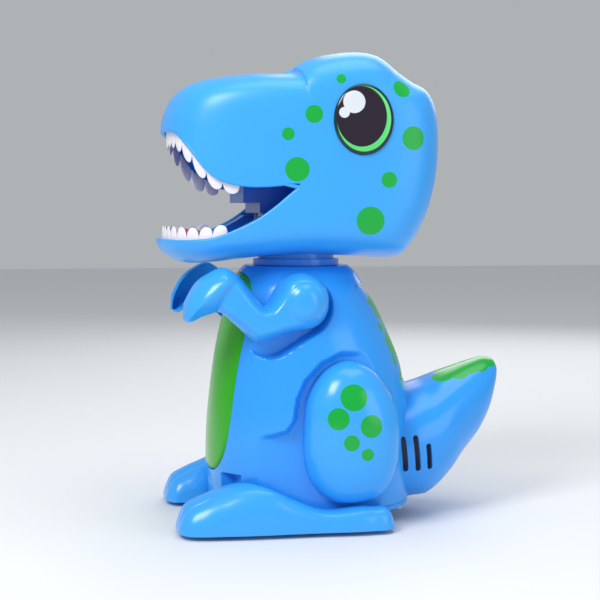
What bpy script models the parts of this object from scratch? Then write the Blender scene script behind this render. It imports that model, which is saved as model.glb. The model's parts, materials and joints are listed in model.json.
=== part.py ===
"""A dinosaur bubble machine: a battery toy that rolls on a bump-and-go turret and blows bubbles out
of its open mouth.

Units are metres, +Z is up, the nose points along -Y, and the toy's left side is +X. The origin is
on the floor, under the middle of the whole toy.
"""

import math

import bmesh
import bpy
from mathutils import Matrix, Vector

MM = 0.001
MERGE = 1e-6  # points closer than this are one point


def mm(*values):
    """Millimetres to metres, for a single value or a point."""
    return values[0] * MM if len(values) == 1 else tuple(v * MM for v in values)


# ---------------------------------------------------------------- driving dimensions
GAP = mm(0.3)  # between two pieces that touch
SEAM = mm(0.15)  # from the middle plane to each half shell
WALL = mm(2.2)  # of the moulded shells
THIN_WALL = mm(1.6)  # of inner mouldings

# Head: outline in (y, z) from the upper lip round over the brow and back along the jaw.
HEAD_CENTRE = mm(-14, 178)
HEAD_HALF_WIDTH = mm(52)
HEAD_TAPER = mm(15)  # how much narrower each side is at the nose
HEAD_TAPER_FROM = mm(12)
HEAD_TAPER_LENGTH = mm(98)
HEAD_EDGE_POWER = 10.0  # how square the side meets the top
HEAD_SIDE_POWER = 2.2
HEAD_RINGS = (1.0, 0.99, 0.965, 0.92, 0.84, 0.68, 0.36)
SNOUT = [
    mm(-84.8, 191.5), mm(-83, 201), mm(-77.2, 210.5), mm(-66, 216.2), mm(-45, 219.3), mm(-24.5, 219.9),
]
BROW = [mm(-21.5, 223.4), mm(-13.5, 227.6), mm(5, 231.5), mm(18, 229), mm(28.5, 221.5), mm(36, 216.5)]
CROWN = [mm(-21.5, 220.1), mm(-13.5, 220.4), mm(5, 220.8), mm(18, 220.3), mm(28.5, 218.5), mm(36, 216)]
BACK_OF_HEAD = [mm(44, 212), mm(48.6, 202), mm(50, 185), mm(48.4, 167), mm(43.6, 150), mm(35.6, 135.5)]
JAW = [
    mm(28, 130), mm(10, 130.6), mm(-15, 131.5), mm(-40, 130.2), mm(-60, 128), mm(-73, 127.6),
    mm(-82, 131), mm(-87, 137.5), mm(-88.5, 152), mm(-86.8, 172),
]
BROW_INNER = mm(8)  # the brows rise between these distances from the middle plane
BROW_OUTER = mm(24)

LOWER_LIP = [
    mm(-88.7, 139.6), mm(-75.9, 139.3), mm(-62.5, 140.8), mm(-53.5, 144.4), mm(-44.5, 148.8),
    mm(-35.5, 155.1), mm(-28.2, 161.3), mm(-24.2, 164.6),
]
UPPER_LIP = [
    mm(-30.9, 164.6), mm(-40, 163.9), mm(-49, 164.1), mm(-55.6, 165.2), mm(-63, 168.3),
    mm(-68.7, 173.6), mm(-72.6, 178.9), mm(-76.4, 184.3), mm(-80.4, 189.5), mm(-86, 192),
]
MOUTH_FRONT = mm(-110)  # the mouth is cut from here, ahead of the nose

# Eyes
EYE_CENTRE = mm(5.8, 195.5)
EYE_HALF_LENGTH = mm(14.2)
EYE_HALF_HEIGHT = mm(16.6)
EYE_THICKNESS = mm(1.4)

# Teeth: a ribbon inside each lip
TOOTH_THICKNESS = mm(1.4)
TOOTH_CLEARANCE = mm(0.4)
TOOTH_INSET = mm(0.4)
INSIDE_TEETH = WALL + TOOTH_CLEARANCE + TOOTH_INSET + TOOTH_THICKNESS + GAP
TOOTH_ROOT = mm(3.0)
UPPER_TEETH = 15
LOWER_TEETH = 15
UPPER_ROW_END = mm(-51.5, 164.4)  # where each row starts, counted from the mouth's corner
LOWER_ROW_END = mm(-57, 142.9)
TOOTH_TAPER = 0.38  # how much shorter a row's last tooth is
TOOTH_TAPER_LENGTH = mm(30)
UPPER_TOOTH_HEIGHT = mm(6.6)
LOWER_TOOTH_HEIGHT = mm(6.4)

# Bubble works in the head
WAND_AXIS_Z = mm(160)
WAND_Y = mm(-34)  # middle of the wand wheel
WAND_THICKNESS = mm(3)
WAND_RINGS = 6
WAND_RING_PITCH = mm(15.5)
WAND_RING_OUTER = mm(8.0)
WAND_RING_HOLE = mm(5.9)
SHAFT_RADIUS = mm(1.5)
SHAFT_CLEARANCE = mm(0.4)
OUTLET_RADIUS = mm(8.4)
DUCT_HALF_WIDTH = mm(26)
DUCT_FRONT = mm(-39.5)
DUCT_HOOD_FRONT = mm(-47.5)
DUCT_HOOD_BOTTOM = mm(157)
DUCT_BOTTOM = mm(152)
DUCT_TOP = mm(187.5)
LINER_BACK = mm(-17)
LINER_ROOF = mm(196)
LINER_ROOF_FRONT = mm(-79)
NOZZLE_RADIUS = mm(6.6)
NOZZLE_FRONT = mm(-30)
FAN_RADIUS = mm(14)
FAN_CLEARANCE = mm(0.8)
FAN_FRONT = mm(-5)
FAN_LENGTH = mm(8)
FAN_BLADES = 8
FAN_HOUSING_BACK = mm(7)
MODULE = mm(0.6)
WAND_GEAR_TEETH = 24
PINION_TEETH = 10
WAND_GEAR_Y = mm(-12.4)
GEAR_THICKNESS = mm(3)
WAND_PINION_ANGLE = math.radians(-45)
SMALL_MOTOR_RADIUS = mm(6)
SMALL_MOTOR_LENGTH = mm(18)
FAN_MOTOR_RADIUS = mm(7.5)
FAN_MOTOR_LENGTH = mm(22)

# Solution tray and tongue, in the lower jaw
TRAY_FRONT = mm(-81)
TRAY_BACK = mm(-21)
TRAY_FLOOR = mm(135.2)
TRAY_BASIN_FRONT = mm(-62)
TRAY_BASIN_HALF_WIDTH = mm(27)
TRAY_DECK = mm(140.6)
TRAY_DECK_HALF_WIDTH = mm(24)
TONGUE_HALF_WIDTH = mm(15)
TONGUE_LENGTH = mm(16)
TONGUE_HEIGHT = mm(3.4)
TONGUE_Y = mm(-71.5)

# Neck
NECK_Y = mm(-17.5)
COLLAR_RADIUS = mm(21.5)
NECK_TUBE_RADIUS = mm(19)
TORSO_TOP = mm(126)
NECK_TUBE_BOTTOM = mm(119)
NECK_TUBE_TOP = mm(133)
COLLAR_TOP = mm(129.2)

# Torso: (height, front, back, half width)
TORSO_SECTIONS = [
    mm(7.4, -61.2, 38.6, 46.6), mm(20, -62, 39.4, 48.6), mm(34, -62.2, 39.5, 49.4),
    mm(48, -61.6, 39.0, 49.6), mm(66, -59.8, 36.8, 48.6), mm(84, -57.2, 31.7, 46.0),
    mm(98, -54.2, 25.7, 42.6), mm(110, -51.0, 19.7, 38.2), mm(119, -48.0, 14.2, 33.6),
    mm(124.4, -45.0, 10.2, 29.6), mm(126, -43.2, 8.2, 27.4),
]
TORSO_POWER = 2.3
TORSO_SEGMENTS = 36
BASE_BOTTOM = mm(7.4)
BASE_TOP = mm(9.7)

# Tail ribs: (upper y, upper z, lower y, lower z, half width)
TAIL_RIBS = [
    mm(22, 60, 22, 7.4, 33), mm(36, 64, 38, 7.4, 33), mm(46, 66.8, 48, 8.8, 31),
    mm(55, 70.2, 58.5, 17.5, 27.5),
    mm(64.5, 73.4, 67.5, 29, 22.5), mm(73, 76.2, 76, 39, 17.5), mm(80, 77.9, 82.2, 50, 12.5),
    mm(84.6, 77.2, 85.6, 61.5, 8.2), mm(87.2, 73.8, 87.4, 69, 4.2),
]
TAIL_POWER = 2.2
TAIL_SEGMENTS = 24
SLOT_WIDTH = mm(2.8)
SLOT_LEAN = math.radians(6)
# (y, lowest z, highest z) of each sound slot in the tail's left side
SOUND_SLOTS = [mm(30.1, 25, 42.7), mm(36.5, 25, 43.1), mm(43.3, 25.5, 38.7)]

# Belly panel, seen from the front
BELLY_HALF_WIDTH = mm(29)
BELLY_LOW = mm(25.3)
BELLY_HIGH = mm(122.5)
BELLY_PROUD = mm(0.7)
BELLY_POWER = 3.6

# Leg recess and legs
RECESS_X = mm(41.5)
RECESS_OUTLINE = [
    mm(-90, 45.4), mm(-49.9, 45.4), mm(-36, 46.4), mm(-29.5, 48.4), mm(-26, 53.5), mm(-24.4, 64),
    mm(-20.4, 72.8), mm(-12.8, 80.8), mm(-3.4, 85.2), mm(12, 85), mm(60, 80), mm(60, -10), mm(-90, -10),
]
THIGH_OUTLINE = [
    mm(-20.8, 46.2), mm(-19.6, 62), mm(-14, 73.6), mm(-6.2, 80), mm(2.4, 81.6), mm(11.4, 77.8),
    mm(18.8, 69), mm(23.8, 57.6), mm(25.6, 45), mm(24.2, 30.4), mm(17.6, 18), mm(5.6, 13.2), mm(-7.4, 14.4),
    mm(-16.8, 22.6), mm(-20.4, 34.2),
]
THIGH_CENTRE = mm(2.6, 46.2)
THIGH_OUTER_X = mm(60)
THIGH_RINGS = (1.0, 0.95, 0.82, 0.62, 0.36)
THIGH_POWER = 2.7
# Foot sections: (y, middle x, half width, top z)
FOOT_SECTIONS = [
    mm(22, 49, 3.5, 8), mm(19, 49.5, 6, 11), mm(10, 50, 7.4, 12.6), mm(-16, 50, 7.4, 12.6),
    mm(-27, 50, 7.4, 17), mm(-40, 50, 7.6, 23), mm(-50, 43.5, 14, 24.5), mm(-60, 40, 16.8, 22),
    mm(-70, 39, 17, 18), mm(-77, 38.5, 15.4, 14), mm(-81.5, 38.5, 12, 9.5),
]
FOOT_SOLE = mm(2.2)
FOOT_POWER = 3.0
FOOT_SEGMENTS = 12
FOOT_NOTCH_X = mm(22.4)
FOOT_NOTCH_Y = mm(-50.5)
FOOT_NOTCH_Z = mm(26)

# Arms: (upper y, upper z, lower y, lower z) of each rib, from the shoulder to the paw
ARM_RIBS = [
    mm(-8.8, 112, -8.8, 106), mm(-10.6, 117.4, -10.4, 101.6), mm(-15.4, 121.8, -14.6, 98.6),
    mm(-22.5, 123.6, -21, 97.2), mm(-30, 120.8, -28, 95.2), mm(-35.4, 113.6, -35.4, 93.2),
    mm(-39.3, 108.6, -43.6, 91.4), mm(-45.2, 115, -52, 98.2), mm(-51, 121.8, -60, 105.2),
    mm(-57.5, 126.8, -63, 105.4), mm(-66, 124, -68.7, 103), mm(-73.2, 117, -74.4, 100.2),
    mm(-77.2, 109.6, -77.6, 101.8),
]
ARM_INNER_X = mm(34.4)
ARM_OUTER_X = mm(52)
ARM_POWER = 2.6
ARM_SEGMENTS = 12
ARM_WALL = mm(1.8)
SHOULDER = mm(-22, 109)
SHOULDER_SEAT_RADIUS = mm(15.6)
SHOULDER_SEAT_X = mm(33.8)
POCKET_END = mm(-36.5, 95.5)
POCKET_RADIUS = mm(10.6)
PEG_RADIUS = mm(4)
PEG_CLEARANCE = mm(0.4)
PEG_FLANGE_RADIUS = mm(5.6)

# Battery bay in the back
DOOR_HALF_WIDTH = mm(28)
DOOR_LOW = mm(69)
DOOR_HIGH = mm(117)
DOOR_CORNER = mm(5)
DOOR_REACH = mm(2, 45)  # between these distances along the body
CELL_RADIUS = mm(7.2)
CELL_LENGTH = mm(50.5)
CELL_PITCH = 2 * CELL_RADIUS + mm(0.4)
CELLS = 3
CELL_Y = mm(-9.5)
CELL_LOW = mm(65)
BOX_WALL = mm(1.4)

# Base works
TURRET_Y = mm(-22)
WHEEL_RADIUS = mm(11.5)
WHEEL_X = mm(17)
WHEEL_WIDTH = mm(5)
TURRET_RADIUS = math.hypot(WHEEL_X + WHEEL_WIDTH / 2, WHEEL_RADIUS) + mm(2.86)
TURRET_CLEARANCE = mm(0.4)
TURRET_FLANGE = TURRET_RADIUS + mm(2.7)
TURRET_BOTTOM = mm(5)
TURRET_FLANGE_TOP = mm(11.4)
TURRET_TOP = mm(34)
RETAINER_RADIUS = TURRET_RADIUS + mm(5.5)
TYRE_DEPTH = mm(2)
AXLE_RADIUS = mm(1.3)
DRIVE_GEAR_TEETH = 30
DRIVE_GEAR_X = mm(7.5)
DRIVE_MOTOR_RADIUS = mm(7)
DRIVE_MOTOR_LENGTH = mm(18.4)
REAR_WHEEL_RADIUS = mm(11.3)
REAR_WHEEL_X = mm(30)
REAR_WHEEL_WIDTH = mm(5)
REAR_AXLE_Y = mm(13)
SWITCH_Y = mm(31)
SWITCH_TRAVEL = mm(2.5)
SWITCH_KNOB = mm(2.2)

# Screws
SCREW_RADIUS = mm(1.3)
SCREW_HEAD_RADIUS = mm(2.6)
SCREW_HEAD_HEIGHT = mm(1.8)
SCREW_LENGTH = mm(8)
SCREW_SUNK = mm(3)  # how deep a head screw sits in its hole
HEAD_SCREW_LENGTH = mm(14)
HEAD_SCREWS = [mm(38, 202), mm(34, 146), mm(-72, 204)]
REAR_SCREW_Y = mm(32.2) - WALL
BASE_SCREWS = [mm(14, -52.5), mm(-14, -52.5), (mm(22), REAR_SCREW_Y), (mm(-22), REAR_SCREW_Y)]
SPEAKER_RADIUS = mm(12)
SPEAKER_CENTRE = mm(38, 34)
BIG = mm(200)

# ---------------------------------------------------------------- scene and materials
for old in list(bpy.data.objects):
    bpy.data.objects.remove(old)
PARTS = bpy.data.collections.new("dinosaur_bubble_machine")
CUTTERS = bpy.data.collections.new("cutters")
for collection in (PARTS, CUTTERS):
    bpy.context.scene.collection.children.link(collection)

COLOURS = {  # name: (red, green, blue, roughness, metallic)
    "sky_blue": (0.07, 0.44, 0.94, 0.28, 0),
    "deep_blue": (0.01, 0.15, 0.62, 0.3, 0),
    "leaf_green": (0.06, 0.5, 0.02, 0.3, 0),
    "tooth_white": (0.86, 0.82, 0.86, 0.3, 0),
    "tongue_red": (0.6, 0.02, 0.12, 0.35, 0),
    "eye_ink": (0.03, 0.02, 0.05, 0.2, 0),
    "grey_plastic": (0.3, 0.3, 0.32, 0.5, 0),
    "white_plastic": (0.75, 0.75, 0.72, 0.45, 0),
    "black_rubber": (0.02, 0.02, 0.02, 0.8, 0),
    "steel": (0.6, 0.6, 0.6, 0.3, 1),
    "board_green": (0.02, 0.2, 0.06, 0.5, 0),
    "cell_sleeve": (0.12, 0.12, 0.14, 0.35, 0),
}
MATERIALS = {}
for colour_name, (red, green, blue, rough, metal) in COLOURS.items():
    material = bpy.data.materials.new(colour_name)
    material.use_nodes = True
    shader = material.node_tree.nodes["Principled BSDF"]
    shader.inputs["Base Color"].default_value = (red, green, blue, 1)
    shader.inputs["Roughness"].default_value = rough
    shader.inputs["Metallic"].default_value = metal
    MATERIALS[colour_name] = material


# ---------------------------------------------------------------- shape tools
AXIS_TURN = {  # puts a shape's own Z along an axis of the toy
    "X": Matrix(((0, 0, 1, 0), (1, 0, 0, 0), (0, 1, 0, 0), (0, 0, 0, 1))),
    "Y": Matrix.Rotation(-math.pi / 2, 4, "X"),
    "Z": Matrix(),
}
FACING = {  # puts an outline's two numbers on the two other axes, in XYZ order
    "X": AXIS_TURN["X"],
    "Y": Matrix.Rotation(math.pi / 2, 4, "X"),
    "Z": Matrix(),
}


def add_object(name, mesh):
    """Put a mesh in the scene as an object of the toy's collection."""
    obj = bpy.data.objects.new(name, mesh)
    PARTS.objects.link(obj)
    return obj


def from_bmesh(name, bm):
    """Turn a bmesh into an object with outward faces."""
    bmesh.ops.recalc_face_normals(bm, faces=bm.faces)
    mesh = bpy.data.meshes.new(name)
    bm.to_mesh(mesh)
    bm.free()
    return add_object(name, mesh)


def evaluated_mesh(obj):
    """A new mesh of what an object shows with its modifiers, in world coordinates."""
    bpy.context.view_layer.update()
    graph = bpy.context.evaluated_depsgraph_get()
    mesh = bpy.data.meshes.new_from_object(obj.evaluated_get(graph))
    mesh.transform(obj.matrix_world)
    return mesh


def combine(obj, other, operation="DIFFERENCE"):
    """Give obj a Boolean with other, which goes to the cutters' collection."""
    modifier = obj.modifiers.new(other.name, "BOOLEAN")
    modifier.operation = operation
    modifier.solver = "EXACT"
    modifier.object = other
    if other.name in PARTS.objects:
        PARTS.objects.unlink(other)
        CUTTERS.objects.link(other)
    other.hide_render = True
    other.display_type = "WIRE"
    return obj


def copy_of(obj, name="copy"):
    """A separate object with its own mesh and the same modifiers."""
    twin = obj.copy()
    twin.data = obj.data.copy()
    twin.name = name
    PARTS.objects.link(twin)
    return twin


def mirrored(obj, name):
    """The same shape on the toy's other side."""
    mesh = evaluated_mesh(obj)
    mesh.transform(Matrix.Scale(-1, 4, (1, 0, 0)))
    mesh.flip_normals()
    return add_object(name, mesh)


def box(name, low, high):
    """A box between two corners."""
    bm = bmesh.new()
    bmesh.ops.create_cube(bm, size=1)
    bmesh.ops.scale(bm, vec=[h - l for l, h in zip(low, high)], verts=bm.verts)
    bmesh.ops.translate(bm, vec=[(h + l) / 2 for l, h in zip(low, high)], verts=bm.verts)
    return from_bmesh(name, bm)


def cylinder(name, axis, start, end, radius, segments=24):
    """A cylinder along axis "X", "Y" or "Z", from the point start to the coordinate end."""
    index = "XYZ".index(axis)
    length = end - start[index]
    middle = list(start)
    middle[index] += length / 2
    bm = bmesh.new()
    bmesh.ops.create_cone(
        bm, cap_ends=True, segments=segments, radius1=radius, radius2=radius, depth=abs(length),
        matrix=Matrix.Translation(middle) @ AXIS_TURN[axis],
    )
    return from_bmesh(name, bm)


def prism(name, outline, axis, low, high):
    """A flat outline pushed along X, Y or Z. Its points give the two other axes, in XYZ order."""
    curve = bpy.data.curves.new(name, "CURVE")
    curve.dimensions = "2D"
    curve.fill_mode = "BOTH"
    curve.extrude = (high - low) / 2
    spline = curve.splines.new("POLY")
    spline.points.add(len(outline) - 1)
    for point, (a, b) in zip(spline.points, outline):
        point.co = (a, b, 0, 1)
    spline.use_cyclic_u = True
    flat = bpy.data.objects.new(name, curve)
    PARTS.objects.link(flat)
    middle = [0, 0, 0]
    middle["XYZ".index(axis)] = (low + high) / 2
    flat.matrix_world = Matrix.Translation(middle) @ FACING[axis]
    mesh = evaluated_mesh(flat)
    bpy.data.objects.remove(flat)
    bm = bmesh.new()
    bm.from_mesh(mesh)
    bmesh.ops.remove_doubles(bm, verts=bm.verts, dist=MERGE)
    return from_bmesh(name, bm)


def turned(name, profile, axis, centre, steps=32):
    """A closed (radius, height) profile turned about a line along axis through centre."""
    area = sum(a[0] * b[1] - b[0] * a[1] for a, b in zip(profile, profile[1:] + profile[:1]))
    points = profile[::-1] if area > 0 else profile
    mesh = bpy.data.meshes.new(name)
    count = len(points)
    mesh.from_pydata([(r, 0, h) for r, h in points], [(i, (i + 1) % count) for i in range(count)], [])
    obj = add_object(name, mesh)
    obj.matrix_world = Matrix.Translation(centre) @ AXIS_TURN[axis]
    screw = obj.modifiers.new("turn", "SCREW")
    screw.steps = screw.render_steps = steps
    screw.use_merge_vertices = True
    screw.merge_threshold = MERGE
    return obj


def loft(name, rings):
    """Skin a list of equal rings of points and cap both ends."""
    bm = bmesh.new()
    made = [[bm.verts.new(p) for p in ring] for ring in rings]
    count = len(made[0])
    for first, second in zip(made, made[1:]):
        for i in range(count):
            j = (i + 1) % count
            bm.faces.new((first[i], first[j], second[j], second[i]))
    for ring in (made[0], made[-1]):
        middle = bm.verts.new(sum((v.co for v in ring), Vector()) / count)
        for i in range(count):
            bm.faces.new((middle, ring[i], ring[(i + 1) % count]))
    bmesh.ops.triangulate(bm, faces=bm.faces, quad_method="FIXED")
    return from_bmesh(name, bm)


def smooth_loop(points, per_span=2):
    """Points on a closed Catmull-Rom curve through the given ones."""
    made, count = [], len(points)
    for i in range(count):
        p0, p1, p2, p3 = (Vector(points[(i + k) % count]) for k in (-1, 0, 1, 2))
        for step in range(per_span):
            t = step / per_span
            made.append(
                0.5 * (2 * p1 + (p2 - p0) * t + (2 * p0 - 5 * p1 + 4 * p2 - p3) * t * t
                       + (3 * p1 - p0 - 3 * p2 + p3) * t ** 3)
            )
    return made


def smooth_line(points, per_span=3):
    """Points on an open Catmull-Rom curve through the given ones, both ends included."""
    ends = [2 * Vector(points[0]) - Vector(points[1])] + [Vector(p) for p in points]
    ends.append(2 * ends[-1] - ends[-2])
    made = []
    for i in range(1, len(ends) - 2):
        p0, p1, p2, p3 = ends[i - 1 : i + 3]
        for step in range(per_span):
            t = step / per_span
            made.append(
                0.5 * (2 * p1 + (p2 - p0) * t + (2 * p0 - 5 * p1 + 4 * p2 - p3) * t * t
                       + (3 * p1 - p0 - 3 * p2 + p3) * t ** 3)
            )
    made.append(ends[-2])
    return made


def inset(points, distance):
    """A closed outline moved inwards along its corners' normals (outwards if negative)."""
    area = sum(a.x * b.y - b.x * a.y for a, b in zip(points, points[1:] + points[:1]))
    side = 1 if area > 0 else -1
    made = []
    for i, p in enumerate(points):
        along = (points[(i + 1) % len(points)] - points[i - 1]).normalized()
        made.append(p + Vector((-along.y, along.x)) * side * distance)
    return made


def superellipse(angle, power):
    """Cosine and sine of an angle, squared off by the power."""
    c, s = math.cos(angle), math.sin(angle)
    return (
        math.copysign(abs(c) ** (2 / power), c),
        math.copysign(abs(s) ** (2 / power), s),
    )


def oval(centre, half_a, half_b, power=2.0, segments=32):
    """A superellipse outline."""
    made = []
    for i in range(segments):
        c, s = superellipse(math.tau * i / segments, power)
        made.append((centre[0] + half_a * c, centre[1] + half_b * s))
    return made


def blend(t):
    """A smooth step from 0 to 1."""
    t = min(max(t, 0), 1)
    return t * t * (3 - 2 * t)


def gear_outline(teeth, centre, tooth_towards):
    """Spur gear outline with a tooth pointing at the given angle."""
    pitch = teeth * MODULE / 2
    root, tip = pitch - 1.2 * MODULE, pitch + 0.85 * MODULE
    step = math.tau / teeth
    made = []
    for i in range(teeth):
        for radius, part in ((root, -0.27), (tip, -0.1), (tip, 0.1), (root, 0.27)):
            angle = tooth_towards + (i + part) * step
            made.append((centre[0] + radius * math.cos(angle), centre[1] + radius * math.sin(angle)))
    return made


def pivot_at(obj, point):
    """Move the object's origin to a point without moving its shape."""
    bpy.context.view_layer.update()
    moved = Matrix.Translation(point) @ obj.matrix_world.to_quaternion().to_matrix().to_4x4()
    obj.data.transform(moved.inverted() @ obj.matrix_world)
    obj.matrix_world = moved
    return obj


def finish(obj, name, material, smooth=True, pivot=None):
    """Name, colour and shade a finished piece, and put its origin on its joint."""
    obj.name = name
    obj.data.name = name
    obj.data.materials.clear()
    obj.data.materials.append(MATERIALS[material])
    if smooth:
        obj.data.shade_smooth()
        obj.data.set_sharp_from_angle(angle=math.radians(35))
    if pivot is not None:
        pivot_at(obj, pivot)
    return obj


# ---------------------------------------------------------------- head
def head_half_width(y):
    """Half the head's width at a distance along the head."""
    return HEAD_HALF_WIDTH - HEAD_TAPER * ((y - HEAD_TAPER_FROM) / HEAD_TAPER_LENGTH) ** 2


def head_solid(name, offset=0.0, per_span=2):
    """The head without its mouth, inset by offset all round."""
    side = inset(smooth_loop(SNOUT + BROW + BACK_OF_HEAD + JAW, per_span), offset)
    middle = inset(smooth_loop(SNOUT + CROWN + BACK_OF_HEAD + JAW, per_span), offset)
    centre = Vector(HEAD_CENTRE)
    rings = []
    for direction in (1, -1):
        for share in HEAD_RINGS if direction == 1 else HEAD_RINGS[1:]:
            bulge = (1 - share ** HEAD_EDGE_POWER) ** (1 / HEAD_SIDE_POWER)
            ring = []
            for edge_side, edge_middle in zip(side, middle):
                x = bulge * (head_half_width(edge_side.x) - offset)
                risen = blend((x - BROW_INNER) / (BROW_OUTER - BROW_INNER))
                edge = edge_middle.lerp(edge_side, risen)
                y, z = centre + (edge - centre) * share
                x = bulge * (head_half_width(y) - offset)
                ring.append((direction * x, y, z))
            rings.append((direction, ring))
    right_to_left = [ring for direction, ring in reversed(rings) if direction == -1]
    left = [ring for direction, ring in rings if direction == 1]
    return loft(name, right_to_left + left)


def lip_x(y, z, offset):
    """The head's half width, inset by offset, at a point seen from the side."""
    side = inset(smooth_loop(SNOUT + BROW + BACK_OF_HEAD + JAW, 4), offset)
    centre = Vector(HEAD_CENTRE)
    ray = Vector((y, z)) - centre
    best = 0.0
    for a, b in zip(side, side[1:] + side[:1]):
        edge = b - a
        cross = ray.x * edge.y - ray.y * edge.x
        if abs(cross) < 1e-12:
            continue
        start = a - centre
        along_ray = (start.x * edge.y - start.y * edge.x) / cross
        along_edge = (start.x * ray.y - start.y * ray.x) / cross
        if along_ray > 0 and -1e-6 <= along_edge <= 1 + 1e-6:
            best = 1 / along_ray
    if best >= 1:
        return 0.0
    return (head_half_width(y) - offset) * (1 - best ** HEAD_EDGE_POWER) ** (1 / HEAD_SIDE_POWER)


def mouth_outline(clearance=0.0):
    """The open mouth seen from the side, running out past the nose."""
    lower = smooth_line(LOWER_LIP)
    upper = smooth_line(UPPER_LIP)
    front = [Vector((MOUTH_FRONT, upper[-1].y)), Vector((MOUTH_FRONT, lower[0].y))]
    return inset(lower + upper + front, clearance)


def make_head_shells():
    """Left and right halves of the head, open at the mouth and at the neck."""
    shell = head_solid("head")
    combine(shell, head_solid("head_inner", WALL, 1))
    combine(shell, prism("mouth_cut", mouth_outline(), "X", -BIG, BIG))
    neck = cylinder("neck_cut", "Z", (0, NECK_Y, mm(120)), mm(140), NECK_TUBE_RADIUS + GAP)
    combine(shell, neck)
    left = combine(shell, box("not_left", (-BIG, -BIG, -BIG), (SEAM, BIG, BIG * 2)))
    right = mirrored(left, "right")
    for y, z in HEAD_SCREWS:
        hole = cylinder("screw_hole", "X", (mm(-70), y, z), mm(-20), SCREW_HEAD_RADIUS + GAP, segments=16)
        combine(right, hole)
    finish(left, "head_left", "sky_blue")
    finish(right, "head_right", "sky_blue")


def make_head_screws():
    """Screws through sleeves in the right half into posts on the left one."""
    for number, (y, z) in enumerate(HEAD_SCREWS, 1):
        seat = -lip_x(y, z, 0) + SCREW_SUNK
        screw = cylinder("screw", "X", (seat, y, z), seat + SCREW_HEAD_HEIGHT, SCREW_HEAD_RADIUS, segments=12)
        stem = cylinder("stem", "X", (seat + mm(1), y, z), seat + HEAD_SCREW_LENGTH, SCREW_RADIUS, segments=8)
        finish(combine(screw, stem, "UNION"), f"head_screw_{number}", "steel")


def make_eyes():
    """Glossy domed eye discs that follow the head's sides."""
    disc = head_solid("eye", -GAP - EYE_THICKNESS)
    combine(disc, head_solid("seat", -GAP))
    outline = oval(EYE_CENTRE, EYE_HALF_LENGTH, EYE_HALF_HEIGHT)
    combine(disc, prism("eye_prism", outline, "X", mm(20), mm(80)), "INTERSECT")
    finish(mirrored(disc, "eye_right"), "eye_right", "eye_ink")
    finish(disc, "eye_left", "eye_ink")


def tooth_ribbon(name, lip, offset, root, height, teeth):
    """A U of round-ended teeth inside a lip. root and height are signed distances along z."""
    path = []
    for y, z in smooth_line(lip, 4):
        x = lip_x(y, z, offset)
        if x > 0:
            path.append(Vector((x, y, z)))
    nose_y = min(p.y for p in path)
    if lip[0][0] < lip[-1][0]:
        path.reverse()
    path.append(Vector((0, nose_y - mm(0.3), path[-1].z)))
    whole = path[:-1] + [Vector((-p.x, p.y, p.z)) for p in reversed(path)]
    lengths = [0.0]
    for a, b in zip(whole, whole[1:]):
        lengths.append(lengths[-1] + (Vector((b.x, b.y, 0)) - Vector((a.x, a.y, 0))).length)
    samples = teeth * 4
    rings = []
    for i in range(samples + 1):
        along = lengths[-1] * i / samples
        k = max(j for j in range(len(lengths) - 1) if lengths[j] <= along + 1e-12)
        share = (along - lengths[k]) / (lengths[k + 1] - lengths[k])
        p = whole[k].lerp(whole[k + 1], share)
        ahead = (whole[k + 1] - whole[k]).to_2d().normalized()
        inward = Vector((ahead.y, -ahead.x, 0))
        if inward.dot(Vector((0, mm(-30), 0)) - Vector((p.x, p.y, 0))) < 0:
            inward = -inward
        phase = (i % 4) / 4
        scallop = math.sqrt(max(0.0, 1 - (2 * phase - 1) ** 2))
        from_end = min(along, lengths[-1] - along)
        full = 1 - TOOTH_TAPER * (1 - blend(from_end / TOOTH_TAPER_LENGTH))
        edge = p.z + height * full * (0.12 + 0.88 * scallop)
        far = p + inward * TOOTH_THICKNESS
        base = p.z + root
        rings.append([(p.x, p.y, base), (p.x, p.y, edge), (far.x, far.y, edge), (far.x, far.y, base)])
    return loft(name, rings)


def make_teeth():
    """Upper and lower tooth strips."""
    room = WALL + TOOTH_CLEARANCE
    offset = room + TOOTH_INSET
    lip = [UPPER_ROW_END] + UPPER_LIP[3:]
    upper = tooth_ribbon("upper", lip, offset, TOOTH_ROOT, -UPPER_TOOTH_HEIGHT, UPPER_TEETH)
    combine(upper, head_solid("room", room, 1), "INTERSECT")
    finish(upper, "upper_teeth", "tooth_white", smooth=False)
    lip = LOWER_LIP[:2] + [LOWER_ROW_END]
    lower = tooth_ribbon("lower", lip, offset, -TOOTH_ROOT, LOWER_TOOTH_HEIGHT, LOWER_TEETH)
    combine(lower, head_solid("room", room, 1), "INTERSECT")
    finish(lower, "lower_teeth", "tooth_white", smooth=False)


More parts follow.
